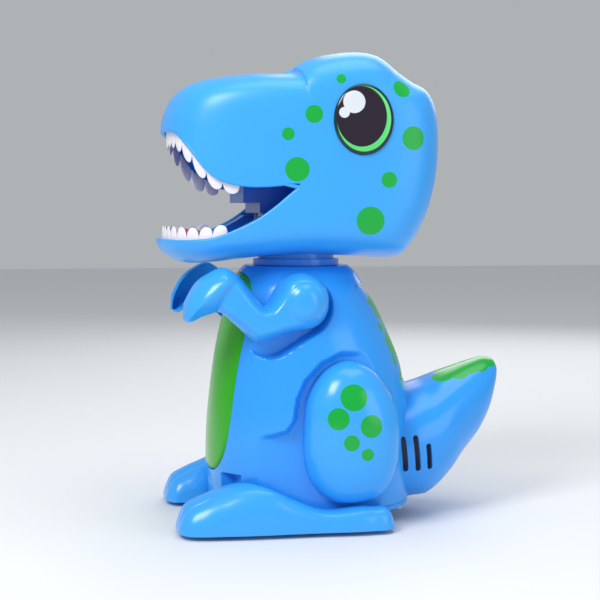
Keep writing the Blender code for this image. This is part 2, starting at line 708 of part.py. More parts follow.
def make_mouth_liner():
    """Roof, back wall and bubble duct that close the mouth, cut to fit inside the shells."""
    roof = [
        Vector((LINER_ROOF_FRONT, LINER_ROOF - mm(2))), Vector((LINER_BACK, LINER_ROOF)),
        Vector((LINER_BACK, LINER_ROOF + THIN_WALL)), Vector(
            (LINER_ROOF_FRONT, LINER_ROOF - mm(2) + THIN_WALL),
        ),
    ]
    liner = prism("liner", roof, "X", -BIG, BIG)
    wall_low, wall_high = DUCT_BOTTOM - mm(1), LINER_ROOF + mm(1)
    wall = box("wall", (-BIG, LINER_BACK - THIN_WALL, wall_low), (BIG, LINER_BACK, wall_high))
    combine(liner, wall, "UNION")
    core = head_solid("core", INSIDE_TEETH, 1)
    combine(liner, core, "INTERSECT")
    duct_back = LINER_BACK - mm(0.5)
    duct = box("duct", (-DUCT_HALF_WIDTH, DUCT_FRONT, DUCT_BOTTOM), (DUCT_HALF_WIDTH, duct_back, DUCT_TOP))
    hood = box(
        "hood", (-DUCT_HALF_WIDTH, DUCT_HOOD_FRONT, DUCT_HOOD_BOTTOM),
        (DUCT_HALF_WIDTH, DUCT_FRONT + mm(1), DUCT_TOP),
    )
    combine(duct, hood, "UNION")
    combine(liner, duct, "UNION")
    inner_half = DUCT_HALF_WIDTH - THIN_WALL
    chamber = box(
        "chamber", (-inner_half, DUCT_FRONT + THIN_WALL, DUCT_BOTTOM - mm(5)),
        (inner_half, LINER_BACK - THIN_WALL, DUCT_TOP - THIN_WALL),
    )
    combine(liner, chamber)
    outlet_z = WAND_AXIS_Z + WAND_RING_PITCH
    combine(liner, cylinder("outlet", "Y", (0, mm(-70), outlet_z), DUCT_FRONT + mm(3), OUTLET_RADIUS))
    for name, z, radius in (
        ("nozzle_hole", outlet_z, NOZZLE_RADIUS + GAP),
        ("shaft_hole", WAND_AXIS_Z, SHAFT_RADIUS + SHAFT_CLEARANCE),
    ):
        combine(liner, cylinder(name, "Y", (0, LINER_BACK - mm(3), z), LINER_BACK + mm(7), radius))
    finish(liner, "mouth_liner", "deep_blue")


def make_tray():
    """The solution tray in the lower jaw: a deck behind the front teeth and a deep basin under the wand."""
    rim = [Vector(p) - Vector(mm(0, 1.2)) for p in smooth_line(LOWER_LIP[1:-1], 2)]
    top = [p for p in rim if TRAY_FRONT < p.x < TRAY_BACK - mm(1)]
    outline = [Vector((TRAY_BACK, TRAY_FLOOR - THIN_WALL)), Vector((TRAY_FRONT, TRAY_FLOOR - THIN_WALL))]
    outline += [Vector((TRAY_FRONT, top[0].y))] + top + [Vector((TRAY_BACK, DUCT_BOTTOM - mm(1.4)))]
    cap = DUCT_BOTTOM - mm(1.4)
    outline = [Vector((p.x, min(p.y, cap))) for p in outline]
    tray = prism("tray", outline, "X", -BIG, BIG)
    combine(tray, head_solid("core", INSIDE_TEETH, 1), "INTERSECT")
    basin = box(
        "basin", (-TRAY_BASIN_HALF_WIDTH, TRAY_BASIN_FRONT, TRAY_FLOOR),
        (TRAY_BASIN_HALF_WIDTH, TRAY_BACK - THIN_WALL, mm(170)),
    )
    combine(tray, basin)
    deck_end = TRAY_BASIN_FRONT - mm(0.1)
    deck = box(
        "deck", (-TRAY_DECK_HALF_WIDTH, TRAY_FRONT + mm(1), TRAY_DECK),
        (TRAY_DECK_HALF_WIDTH, deck_end, mm(170)),
    )
    combine(tray, deck)
    deck_join = box(
        "join", (-TRAY_DECK_HALF_WIDTH, TRAY_BASIN_FRONT - mm(1), TRAY_DECK),
        (TRAY_DECK_HALF_WIDTH, TRAY_BASIN_FRONT + mm(1), mm(170)),
    )
    combine(tray, deck_join)
    hollow_half = TRAY_DECK_HALF_WIDTH - mm(2)
    hollow = box(
        "hollow", (-hollow_half, TRAY_FRONT + mm(12), mm(120)),
        (hollow_half, TRAY_BASIN_FRONT - THIN_WALL, TRAY_DECK - THIN_WALL),
    )
    combine(tray, hollow)
    finish(tray, "solution_tray", "deep_blue")


def make_tongue():
    """A low rounded tongue lying on the tray's deck."""
    rings = []
    base = TRAY_DECK + GAP
    for share in (1.0, 0.97, 0.85, 0.6, 0.3):
        lift = TONGUE_HEIGHT * math.sqrt(max(0.0, 1 - share * share))
        ring = [
            (x * share, TONGUE_Y + (y - TONGUE_Y) * share, base + lift)
            for x, y in oval((0, TONGUE_Y), TONGUE_HALF_WIDTH, TONGUE_LENGTH / 2, 2.6, 28)
        ]
        rings.append(ring)
    finish(loft("tongue", rings), "tongue", "tongue_red")


def make_wand():
    """The wheel of six bubble rings and the shaft and gear that turn it."""
    outline = []
    lobe = math.tau / WAND_RINGS
    for i in range(WAND_RINGS * 8):
        angle = math.tau * i / (WAND_RINGS * 8)
        off = (angle + lobe / 2) % lobe - lobe / 2
        reach = WAND_RING_PITCH * math.cos(off)
        reach += math.sqrt(max(0.0, WAND_RING_OUTER ** 2 - (WAND_RING_PITCH * math.sin(off)) ** 2))
        turned_angle = angle + math.pi / 2
        outline.append((reach * math.cos(turned_angle), WAND_AXIS_Z + reach * math.sin(turned_angle)))
    low, high = WAND_Y - WAND_THICKNESS / 2, WAND_Y + WAND_THICKNESS / 2
    wheel = prism("wheel", outline, "Y", low, high)
    for i in range(WAND_RINGS):
        angle = math.pi / 2 + lobe * i
        x, z = WAND_RING_PITCH * math.cos(angle), WAND_AXIS_Z + WAND_RING_PITCH * math.sin(angle)
        combine(wheel, cylinder("hole", "Y", (x, low - mm(1), z), high + mm(1), WAND_RING_HOLE, segments=12))
    bore = cylinder(
        "bore", "Y", (0, low - mm(1), WAND_AXIS_Z), high + mm(1), SHAFT_RADIUS + mm(0.1), segments=16,
    )
    combine(wheel, bore)
    pivot = (0, WAND_Y, WAND_AXIS_Z)
    finish(wheel, "wand_wheel", "white_plastic", smooth=False, pivot=pivot)
    gear = prism(
        "gear", gear_outline(WAND_GEAR_TEETH, (0, WAND_AXIS_Z), WAND_PINION_ANGLE), "Y",
        WAND_GEAR_Y - GEAR_THICKNESS / 2, WAND_GEAR_Y + GEAR_THICKNESS / 2,
    )
    shaft_end = WAND_GEAR_Y + GEAR_THICKNESS
    shaft = cylinder("shaft", "Y", (0, low - mm(1.2), WAND_AXIS_Z), shaft_end, SHAFT_RADIUS, segments=16)
    finish(combine(gear, shaft, "UNION"), "wand_gear", "white_plastic", smooth=False, pivot=pivot)


def make_wand_drive():
    """The small motor and pinion that turn the wand gear."""
    reach = (WAND_GEAR_TEETH + PINION_TEETH) * MODULE / 2
    x, z = reach * math.cos(WAND_PINION_ANGLE), WAND_AXIS_Z + reach * math.sin(WAND_PINION_ANGLE)
    gap_towards = WAND_PINION_ANGLE + math.pi + math.pi / PINION_TEETH
    front = WAND_GEAR_Y - GEAR_THICKNESS / 2
    back = WAND_GEAR_Y + GEAR_THICKNESS / 2 + mm(0.6)
    pinion = prism("pinion", gear_outline(PINION_TEETH, (x, z), gap_towards), "Y", front, back)
    finish(pinion, "wand_pinion", "white_plastic", smooth=False, pivot=(x, WAND_GEAR_Y, z))
    start = back + GAP
    motor = cylinder("motor", "Y", (x, start, z), start + SMALL_MOTOR_LENGTH, SMALL_MOTOR_RADIUS, segments=20)
    finish(motor, "wand_motor", "steel")


def make_fan():
    """Funnel housing, bladed impeller and its motor, in line with the outlet."""
    z = WAND_AXIS_Z + WAND_RING_PITCH
    bell = FAN_RADIUS + FAN_CLEARANCE
    flare = FAN_FRONT - mm(4)
    profile = [
        (NOZZLE_RADIUS - mm(1.3), NOZZLE_FRONT), (NOZZLE_RADIUS, NOZZLE_FRONT), (NOZZLE_RADIUS, flare),
        (bell + THIN_WALL, FAN_FRONT - mm(0.8)), (bell + THIN_WALL, FAN_HOUSING_BACK),
        (bell, FAN_HOUSING_BACK),
        (bell, FAN_FRONT - mm(0.8)), (NOZZLE_RADIUS - mm(1.3), flare),
    ]
    housing = turned("housing", profile, "Y", (0, 0, z), 28)
    finish(housing, "fan_housing", "grey_plastic")
    hub = mm(4)
    outline = []
    step = math.tau / FAN_BLADES
    for i in range(FAN_BLADES):
        for radius, part in ((hub, -0.08), (FAN_RADIUS, -0.035), (FAN_RADIUS, 0.035), (hub, 0.08)):
            angle = (i + part) * step
            outline.append((radius * math.cos(angle), z + radius * math.sin(angle)))
    fan = prism("fan", outline, "Y", FAN_FRONT, FAN_FRONT + FAN_LENGTH)
    finish(fan, "fan_impeller", "white_plastic", smooth=False, pivot=(0, FAN_FRONT, z))
    start = FAN_FRONT + FAN_LENGTH + mm(0.6)
    motor = cylinder("motor", "Y", (0, start, z), start + FAN_MOTOR_LENGTH, FAN_MOTOR_RADIUS)
    finish(motor, "fan_motor", "steel")


def make_neck():
    """The collar between torso and head, with the tube that the leads run through."""
    inner = NECK_TUBE_RADIUS - mm(2)
    low, high = TORSO_TOP + GAP, COLLAR_TOP
    profile = [
        (inner, NECK_TUBE_BOTTOM), (NECK_TUBE_RADIUS, NECK_TUBE_BOTTOM), (NECK_TUBE_RADIUS, low),
        (COLLAR_RADIUS, low), (COLLAR_RADIUS, high), (NECK_TUBE_RADIUS, high),
        (NECK_TUBE_RADIUS, NECK_TUBE_TOP), (inner, NECK_TUBE_TOP),
    ]
    finish(turned("collar", profile, "Z", (0, NECK_Y, 0), 32), "neck_collar", "sky_blue")


# ---------------------------------------------------------------- torso
def torso_ring(z, offset):
    """The torso's section at a height, inset by offset."""
    rows = [row for row in TORSO_SECTIONS if row[0] > z][:1] or TORSO_SECTIONS[-1:]
    above = TORSO_SECTIONS.index(rows[0])
    lower, upper = TORSO_SECTIONS[max(above - 1, 0)], TORSO_SECTIONS[above]
    share = min(max((z - lower[0]) / (upper[0] - lower[0]), 0), 1) if above else 0
    front, back, half_width = (a + (b - a) * share for a, b in zip(lower[1:], upper[1:]))
    middle, half_length = (front + back) / 2, (back - front) / 2 - offset
    return [
        ((half_width - offset) * s, middle + half_length * c, z)
        for c, s in (superellipse(math.tau * i / TORSO_SEGMENTS, TORSO_POWER) for i in range(TORSO_SEGMENTS))
    ]


def torso_solid(name, offset=0.0, low=BASE_BOTTOM, high=TORSO_TOP):
    """The torso's egg, inset by offset, between two heights."""
    heights = [low] + [row[0] for row in TORSO_SECTIONS if low < row[0] < high] + [high]
    return loft(name, [torso_ring(z, offset) for z in heights])


def tail_solid(name, offset=0.0):
    """The tail's horn, inset by offset."""
    rings = []
    for upper_y, upper_z, lower_y, lower_z, half_width in TAIL_RIBS:
        upper, lower = Vector((0, upper_y, upper_z)), Vector((0, lower_y, lower_z))
        middle, half = (upper + lower) / 2, (upper - lower) / 2
        half = half.normalized() * max(half.length - offset, mm(0.5))
        width = max(half_width - offset, mm(0.5))
        ring = []
        for i in range(TAIL_SEGMENTS):
            c, s = superellipse(math.tau * i / TAIL_SEGMENTS, TAIL_POWER)
            ring.append(middle + half * c + Vector((width * s, 0, 0)))
        rings.append(ring)
    if offset:
        rings[-1] = [p - Vector((0, offset, 0)) for p in rings[-1]]
    return loft(name, rings)


def body_solid(name, offset=0.0):
    """Torso and tail in one, with the leg recesses, shoulder seats and foot notches taken out."""
    low = BASE_BOTTOM if offset == 0 else BASE_BOTTOM - mm(3)
    high = TORSO_TOP - offset
    body = torso_solid(name, offset, low, high)
    tail = tail_solid("tail", offset)
    combine(tail, box("floor", (-BIG, -BIG, low), (BIG, BIG, BIG)), "INTERSECT")
    combine(body, tail, "UNION")
    recess = inset([Vector(p) for p in RECESS_OUTLINE], -offset)
    pocket = shoulder_seat_outline(offset)
    for side in (1, -1):
        edge = sorted((side * (RECESS_X - offset), side * BIG))
        combine(body, prism("recess", recess, "X", *edge))
        edge = sorted((side * (SHOULDER_SEAT_X - offset), side * BIG))
        combine(body, prism("seat", pocket, "X", *edge))
        edge = sorted((side * (FOOT_NOTCH_X - offset), side * BIG))
        notch = box(
            "notch", (edge[0], -BIG, -mm(20)), (edge[1], FOOT_NOTCH_Y + offset, FOOT_NOTCH_Z + offset),
        )
        combine(body, notch)
    return body


def shoulder_seat_outline(offset):
    """A round seat for the shoulder and the pocket that the upper arm swings down into."""
    shoulder, end = Vector(SHOULDER), Vector(POCKET_END)
    big, small = SHOULDER_SEAT_RADIUS + offset, POCKET_RADIUS + offset
    reach = end - shoulder
    facing = math.atan2(reach.y, reach.x)
    lean = math.acos((big - small) / reach.length)
    outline = []
    for i in range(21):
        angle = facing + lean + (math.tau - 2 * lean) * i / 20
        outline.append(shoulder + big * Vector((math.cos(angle), math.sin(angle))))
    for i in range(9):
        angle = facing - lean + 2 * lean * i / 8
        outline.append(end + small * Vector((math.cos(angle), math.sin(angle))))
    return outline


def belly_outline(clearance=0.0):
    """The belly panel seen from the front, as (x, z)."""
    middle, half = (BELLY_LOW + BELLY_HIGH) / 2, (BELLY_HIGH - BELLY_LOW) / 2
    return oval((0, middle), BELLY_HALF_WIDTH + clearance, half + clearance, BELLY_POWER, 40)


def door_outline(clearance=0.0):
    """The battery door seen from behind, as (x, z)."""
    corner = DOOR_CORNER + clearance
    half, low, high = DOOR_HALF_WIDTH + clearance, DOOR_LOW - clearance, DOOR_HIGH + clearance
    outline = []
    corners = ((half, high, 0), (-half, high, 1), (-half, low, 2), (half, low, 3))
    for x, z, quarter in corners:
        cx = x - math.copysign(corner, x)
        cz = z - math.copysign(corner, z - (low + high) / 2)
        for i in range(4):
            angle = (quarter + i / 3) * math.pi / 2
            outline.append((cx + corner * math.cos(angle), cz + corner * math.sin(angle)))
    return outline


def make_torso():
    """Left and right torso shells with the tail, the belly panel, the battery door and the base plate."""
    outer = body_solid("body")
    base = combine(
        copy_of(outer), box("slab", (-BIG, -BIG, BASE_BOTTOM - mm(1)), (BIG, BIG, BASE_TOP)), "INTERSECT",
    )
    inner = body_solid("inner", WALL)
    shell = combine(outer, box("above", (-BIG, -BIG, BASE_TOP + GAP), (BIG, BIG, BIG)), "INTERSECT")
    door = combine(copy_of(shell), inner)
    combine(shell, inner)
    neck = cylinder("neck_cut", "Z", (0, NECK_Y, mm(110)), mm(140), NECK_TUBE_RADIUS + GAP, segments=40)
    combine(shell, neck)
    for y, low, high in SOUND_SLOTS:
        slot = box("slot", (-mm(60), -SLOT_WIDTH / 2, low), (-mm(10), SLOT_WIDTH / 2, high))
        leaning = Matrix.Rotation(SLOT_LEAN, 4, "X") @ Matrix.Translation((0, 0, -high))
        slot.data.transform(Matrix.Translation((0, y, high)) @ leaning)
        combine(shell, slot)
    combine(shell, cylinder("peg_hole", "X", (-mm(60), *SHOULDER), -mm(20), PEG_RADIUS + PEG_CLEARANCE))

    combine(door, prism("door", door_outline(), "Y", *DOOR_REACH), "INTERSECT")
    combine(shell, prism("door_cut", door_outline(GAP), "Y", *DOOR_REACH))
    middle_z = (DOOR_LOW + DOOR_HIGH) / 2
    combine(
        door,
        cylinder("hole", "Y", (0, mm(0), DOOR_HIGH - mm(6)), mm(60), SCREW_HEAD_RADIUS + GAP, segments=16),
    )
    pivot = (0, mm(25), middle_z)
    finish(door, "battery_door", "sky_blue", pivot=pivot)

    belly = torso_solid("belly", -BELLY_PROUD)
    combine(belly, inner)
    combine(belly, prism("belly_prism", belly_outline(), "Y", -BIG, mm(-25)), "INTERSECT")
    combine(shell, prism("belly_cut", belly_outline(GAP), "Y", -BIG, mm(-25)))
    finish(belly, "belly_panel", "leaf_green")

    combine(shell, box("not_right", (-SEAM, -BIG, -BIG), (BIG, BIG, BIG * 2)))
    finish(mirrored(shell, "torso_left"), "torso_left", "sky_blue")
    finish(shell, "torso_right", "sky_blue")
    make_base_plate(base)


def make_base_plate(base):
    """The plate that closes the bottom, with openings for the turret, wheels, switch and screws."""
    low, high = mm(0), mm(20)
    combine(
        base,
        cylinder("turret_hole", "Z", (0, TURRET_Y, low), high, TURRET_RADIUS + TURRET_CLEARANCE, segments=40),
    )
    reach = REAR_WHEEL_RADIUS + mm(1)
    for side in (1, -1):
        room = REAR_WHEEL_WIDTH / 2 + mm(0.7)
        x0, x1 = sorted((side * (REAR_WHEEL_X - room), side * (REAR_WHEEL_X + room)))
        combine(base, box("wheel_slot", (x0, REAR_AXLE_Y - reach, low), (x1, REAR_AXLE_Y + reach, high)))
    room = SWITCH_KNOB + mm(0.4)
    travel = SWITCH_TRAVEL + room
    combine(base, box("switch_slot", (-travel, SWITCH_Y - room, low), (travel, SWITCH_Y + room, high)))
    for x, y in BASE_SCREWS:
        combine(base, cylinder("hole", "Z", (x, y, low), high, SCREW_RADIUS + GAP, segments=12))
    finish(base, "base_plate", "sky_blue", smooth=False)
    for number, (x, y) in enumerate(BASE_SCREWS, 1):
        head_top = BASE_BOTTOM - GAP
        screw = cylinder(
            "screw", "Z", (x, y, head_top - SCREW_HEAD_HEIGHT), head_top, SCREW_HEAD_RADIUS, segments=12,
        )
        stem = cylinder(
            "stem", "Z", (x, y, head_top - mm(1)), head_top + SCREW_LENGTH, SCREW_RADIUS, segments=8,
        )
        finish(combine(screw, stem, "UNION"), f"base_screw_{number}", "steel")


# ---------------------------------------------------------------- limbs
def arm_solid(name, offset=0.0):
    """The bent arm, inset by offset."""
    middle_x = (ARM_INNER_X + ARM_OUTER_X) / 2
    half_x = (ARM_OUTER_X - ARM_INNER_X) / 2 + mm(4)
    rings = []
    for upper_y, upper_z, lower_y, lower_z in ARM_RIBS:
        upper, lower = Vector((0, upper_y, upper_z)), Vector((0, lower_y, lower_z))
        middle, half = (upper + lower) / 2, (upper - lower) / 2
        thick = min(half_x, half.length + mm(5)) - offset
        half = half.normalized() * max(half.length - offset, mm(0.4))
        ring = []
        for i in range(ARM_SEGMENTS):
            c, s = superellipse(math.tau * (i + 0.5) / ARM_SEGMENTS, ARM_POWER)
            x = middle_x - mm(4) + thick * s
            ring.append(middle + half * c + Vector((x, 0, 0)))
        rings.append(ring)
    if offset:
        ahead = Vector((0, offset, 0))
        rings[0] = [p - ahead for p in rings[0]]
        rings[-1] = [p + ahead for p in rings[-1]]
    return loft(name, rings)


def make_arms():
    """Hollow arms, open towards the torso, each turning on a flanged shoulder peg."""
    arm = arm_solid("arm")
    combine(arm, arm_solid("inner", ARM_WALL))
    y, z = SHOULDER
    flange_x = SHOULDER_SEAT_X - WALL - mm(0.5)
    combine(
        arm, cylinder("boss", "X", (ARM_INNER_X, y, z), ARM_OUTER_X - ARM_WALL / 2, PEG_RADIUS + mm(1)),
        "UNION",
    )
    combine(arm, box("outside", (ARM_INNER_X, -BIG, 0), (BIG, BIG, BIG)), "INTERSECT")
    combine(arm, cylinder("peg", "X", (flange_x - mm(1), y, z), ARM_INNER_X + mm(3), PEG_RADIUS), "UNION")
    combine(arm, cylinder("flange", "X", (flange_x - mm(1.6), y, z), flange_x, PEG_FLANGE_RADIUS), "UNION")
    other = mirrored(arm, "arm_right")
    finish(arm, "arm_left", "sky_blue", pivot=(ARM_INNER_X, y, z))
    finish(other, "arm_right", "sky_blue", pivot=(-ARM_INNER_X, y, z))


def thigh_solid(name, offset=0.0):
    """The egg-shaped thigh, domed outwards."""
    outline = inset(smooth_loop(THIGH_OUTLINE), offset)
    centre = Vector(THIGH_CENTRE)
    base_x = RECESS_X + GAP
    height = THIGH_OUTER_X - base_x - offset
    rings = [[(base_x - (mm(2) if offset else 0), *p) for p in outline]]
    for share in THIGH_RINGS:
        lift = height * (1 - share ** THIGH_POWER) ** 0.5
        ring = [(base_x + mm(1.5) * (share == 1.0) + lift, *(centre + (p - centre) * share)) for p in outline]
        rings.append(ring)
    return loft(name, rings)


def make_legs():
    """Hollow thighs and broad feet."""
    thigh = combine(thigh_solid("thigh"), thigh_solid("inner", WALL))
    finish(mirrored(thigh, "leg_right"), "leg_right", "sky_blue")
    finish(thigh, "leg_left", "sky_blue")
    rings, hollow = [], []
    for y, middle, half_width, top in FOOT_SECTIONS:
        rings.append(foot_ring(y, middle, half_width, FOOT_SOLE, top))
        hollow.append(
            foot_ring(y * 0.96, middle, max(half_width - WALL, mm(0.8)), FOOT_SOLE - mm(3), top - WALL),
        )
    foot = combine(loft("foot", rings), loft("hollow", hollow[1:-1]))
    beside, notch_x, notch_y = RECESS_X + GAP, FOOT_NOTCH_X + GAP, FOOT_NOTCH_Y - GAP
    outline = [(beside, BIG), (BIG, BIG), (BIG, -BIG), (notch_x, -BIG), (notch_x, notch_y), (beside, notch_y)]
    outside = prism("outside", outline, "Z", -BIG, BIG)
    combine(foot, outside, "INTERSECT")
    finish(mirrored(foot, "foot_right"), "foot_right", "sky_blue")
    finish(foot, "foot_left", "sky_blue")


def foot_ring(y, middle, half_width, low, high):
    """A foot section: an arch over a flat sole."""
    ring = []
    for i in range(FOOT_SEGMENTS):
        c, s = superellipse(math.pi * i / (FOOT_SEGMENTS - 1), FOOT_POWER)
        ring.append((middle + half_width * c, y, low + (high - low) * s))
    return ring


# ---------------------------------------------------------------- power
def make_battery_bay():
    """A box of three upright cells behind the battery door."""
    half = CELLS * CELL_PITCH / 2 + BOX_WALL
    front, back = CELL_Y - CELL_RADIUS - GAP - BOX_WALL, CELL_Y + CELL_RADIUS * 0.6
    low, high = CELL_LOW - BOX_WALL - GAP, CELL_LOW + CELL_LENGTH + GAP + BOX_WALL
    bay = box("bay", (-half, front, low), (half, back, high))
    room = box(
        "room", (-half + BOX_WALL, front + BOX_WALL, low + BOX_WALL),
        (half - BOX_WALL, mm(60), high - BOX_WALL),
    )
    combine(bay, room)
    finish(bay, "battery_box", "grey_plastic", smooth=False)
    for number in range(CELLS):
        x = (number - (CELLS - 1) / 2) * CELL_PITCH
        body = cylinder(
            "cell", "Z", (x, CELL_Y, CELL_LOW), CELL_LOW + CELL_LENGTH - mm(1.5), CELL_RADIUS, segments=20,
        )
        cap = cylinder(
            "cap", "Z", (x, CELL_Y, CELL_LOW + mm(40)), CELL_LOW + CELL_LENGTH, mm(2.6), segments=12,
        )
        finish(combine(body, cap, "UNION"), f"cell_{number + 1}", "cell_sleeve")


def make_door_screw():
    """The captive screw near the top of the battery door."""
    z = DOOR_HIGH - mm(6)
    head_y = mm(13.4)
    screw = cylinder("screw", "Y", (0, head_y, z), head_y + SCREW_HEAD_HEIGHT, SCREW_HEAD_RADIUS, segments=12)
    stem = cylinder("stem", "Y", (0, mm(2), z), head_y + mm(1), SCREW_RADIUS, segments=8)
    finish(
        combine(screw, stem, "UNION"), "door_screw", "steel", pivot=(0, mm(25), (DOOR_LOW + DOOR_HIGH) / 2),
    )


def make_electronics():
    """Circuit board, sound unit and power switch."""
    board = box("board", (-mm(20), mm(-2), mm(40)), (mm(20), mm(-0.4), mm(62)))
    for x, z, w, h, d in ((-8, 46, 6, 5, 2), (6, 54, 4, 3, 3), (10, 44, 3, 3, 5)):
        chip = box("chip", (mm(x - w), mm(-0.6), mm(z - h)), (mm(x + w), mm(-0.6 + d), mm(z + h)))
        combine(board, chip, "UNION")
    finish(board, "circuit_board", "board_green", smooth=False)
    y, z = SPEAKER_CENTRE
    profile = [
        (mm(3), mm(13)), (mm(5), mm(13)), (mm(5), mm(16)), (SPEAKER_RADIUS, mm(19)), (SPEAKER_RADIUS, mm(21)),
        (SPEAKER_RADIUS - mm(1.5), mm(21)), (SPEAKER_RADIUS - mm(1.5), mm(20)), (mm(3), mm(17.4)),
    ]
    cone = turned("cone", profile, "X", (0, y, z), 24)
    magnet = cylinder("magnet", "X", (mm(12), y, z), mm(17.8), mm(4.5), segments=20)
    finish(combine(cone, magnet, "UNION"), "speaker", "grey_plastic")
    top = mm(17)
    case = box("case", (-mm(8), SWITCH_Y - mm(4), BASE_TOP + GAP), (mm(8), SWITCH_Y + mm(4), top))
    travel = SWITCH_TRAVEL + SWITCH_KNOB + mm(0.4)
    room = box(
        "room", (-travel, SWITCH_Y - SWITCH_KNOB - mm(0.4), mm(5)),
        (travel, SWITCH_Y + SWITCH_KNOB + mm(0.4), mm(14)),
    )
    finish(combine(case, room), "switch_body", "grey_plastic", smooth=False)
    knob = box(
        "knob", (-SWITCH_KNOB, SWITCH_Y - SWITCH_KNOB, BASE_BOTTOM - mm(2.2)),
        (SWITCH_KNOB, SWITCH_Y + SWITCH_KNOB, mm(13.4)),
    )
    knob.data.transform(Matrix.Translation((-SWITCH_TRAVEL, 0, 0)))
    finish(knob, "switch_knob", "black_rubber", smooth=False, pivot=(-SWITCH_TRAVEL, SWITCH_Y, BASE_BOTTOM))


# ---------------------------------------------------------------- rolling gear
def make_turret():
    """The bump-and-go turret: cup, cap and the ring that holds it in the base plate."""
    floor = TURRET_BOTTOM + mm(1.8)
    wall = TURRET_RADIUS - mm(1.8)
    profile = [
        (mm(0.5), TURRET_BOTTOM), (TURRET_RADIUS - mm(1), TURRET_BOTTOM),
        (TURRET_RADIUS, TURRET_BOTTOM + mm(1)),
        (TURRET_RADIUS, BASE_TOP + GAP), (TURRET_FLANGE, BASE_TOP + GAP), (TURRET_FLANGE, TURRET_FLANGE_TOP),
        (wall, TURRET_FLANGE_TOP), (wall, floor), (mm(0.5), floor),
    ]
    cup = turned("cup", profile, "Z", (0, TURRET_Y, 0), 32)
    reach = WHEEL_RADIUS + mm(1)
    for side in (1, -1):
        room = WHEEL_WIDTH / 2 + mm(0.8)
        x0, x1 = sorted((side * (WHEEL_X - room), side * (WHEEL_X + room)))
        combine(cup, box("slot", (x0, TURRET_Y - reach, 0), (x1, TURRET_Y + reach, mm(9))))
    gear_reach = mm(9.6)
    gear_slot = box(
        "gear_slot", (DRIVE_GEAR_X - mm(2.6), TURRET_Y - gear_reach, 0),
        (DRIVE_GEAR_X + mm(2.6), TURRET_Y + gear_reach, mm(9)),
    )
    combine(cup, gear_slot)
    pivot = (0, TURRET_Y, BASE_BOTTOM)
    finish(cup, "turret_cup", "grey_plastic", pivot=pivot)
    low = TURRET_FLANGE_TOP + GAP
    outer = TURRET_RADIUS
    inner = outer - mm(1.6)
    cap_profile = [
        (outer, low), (outer, TURRET_TOP - mm(2)), (outer - mm(2), TURRET_TOP), (mm(3), TURRET_TOP),
        (mm(3), TURRET_TOP + mm(2.5)), (mm(1), TURRET_TOP + mm(2.5)), (mm(1), TURRET_TOP - mm(1.6)),
        (inner - mm(1), TURRET_TOP - mm(1.6)), (inner, TURRET_TOP - mm(2.6)), (inner, low),
    ]
    cap = turned("cap", cap_profile, "Z", (0, TURRET_Y, 0), 24)
    finish(cap, "turret_cap", "grey_plastic", pivot=pivot)
    step = TURRET_FLANGE_TOP + GAP
    ring_profile = [
        (TURRET_FLANGE + mm(0.4), BASE_TOP + GAP), (RETAINER_RADIUS, BASE_TOP + GAP),
        (RETAINER_RADIUS, step + mm(1.6)), (outer + mm(0.6), step + mm(1.6)), (outer + mm(0.6), step),
        (TURRET_FLANGE + mm(0.4), step),
    ]
    finish(turned("ring", ring_profile, "Z", (0, TURRET_Y, 0), 32), "turret_retainer", "grey_plastic")


def make_wheel(name, x, y, z, radius, width, bore):
    """A dished wheel hub about X."""
    half = width / 2
    outer, inner = math.copysign(half, x), -math.copysign(half, x)
    dish = outer - math.copysign(mm(1.2), x)
    profile = [
        (bore, inner), (radius, inner), (radius, outer), (radius - mm(1.8), outer),
        (radius - mm(1.8), dish), (bore, dish),
    ]
    return turned(name, profile, "X", (x, y, z), 24)


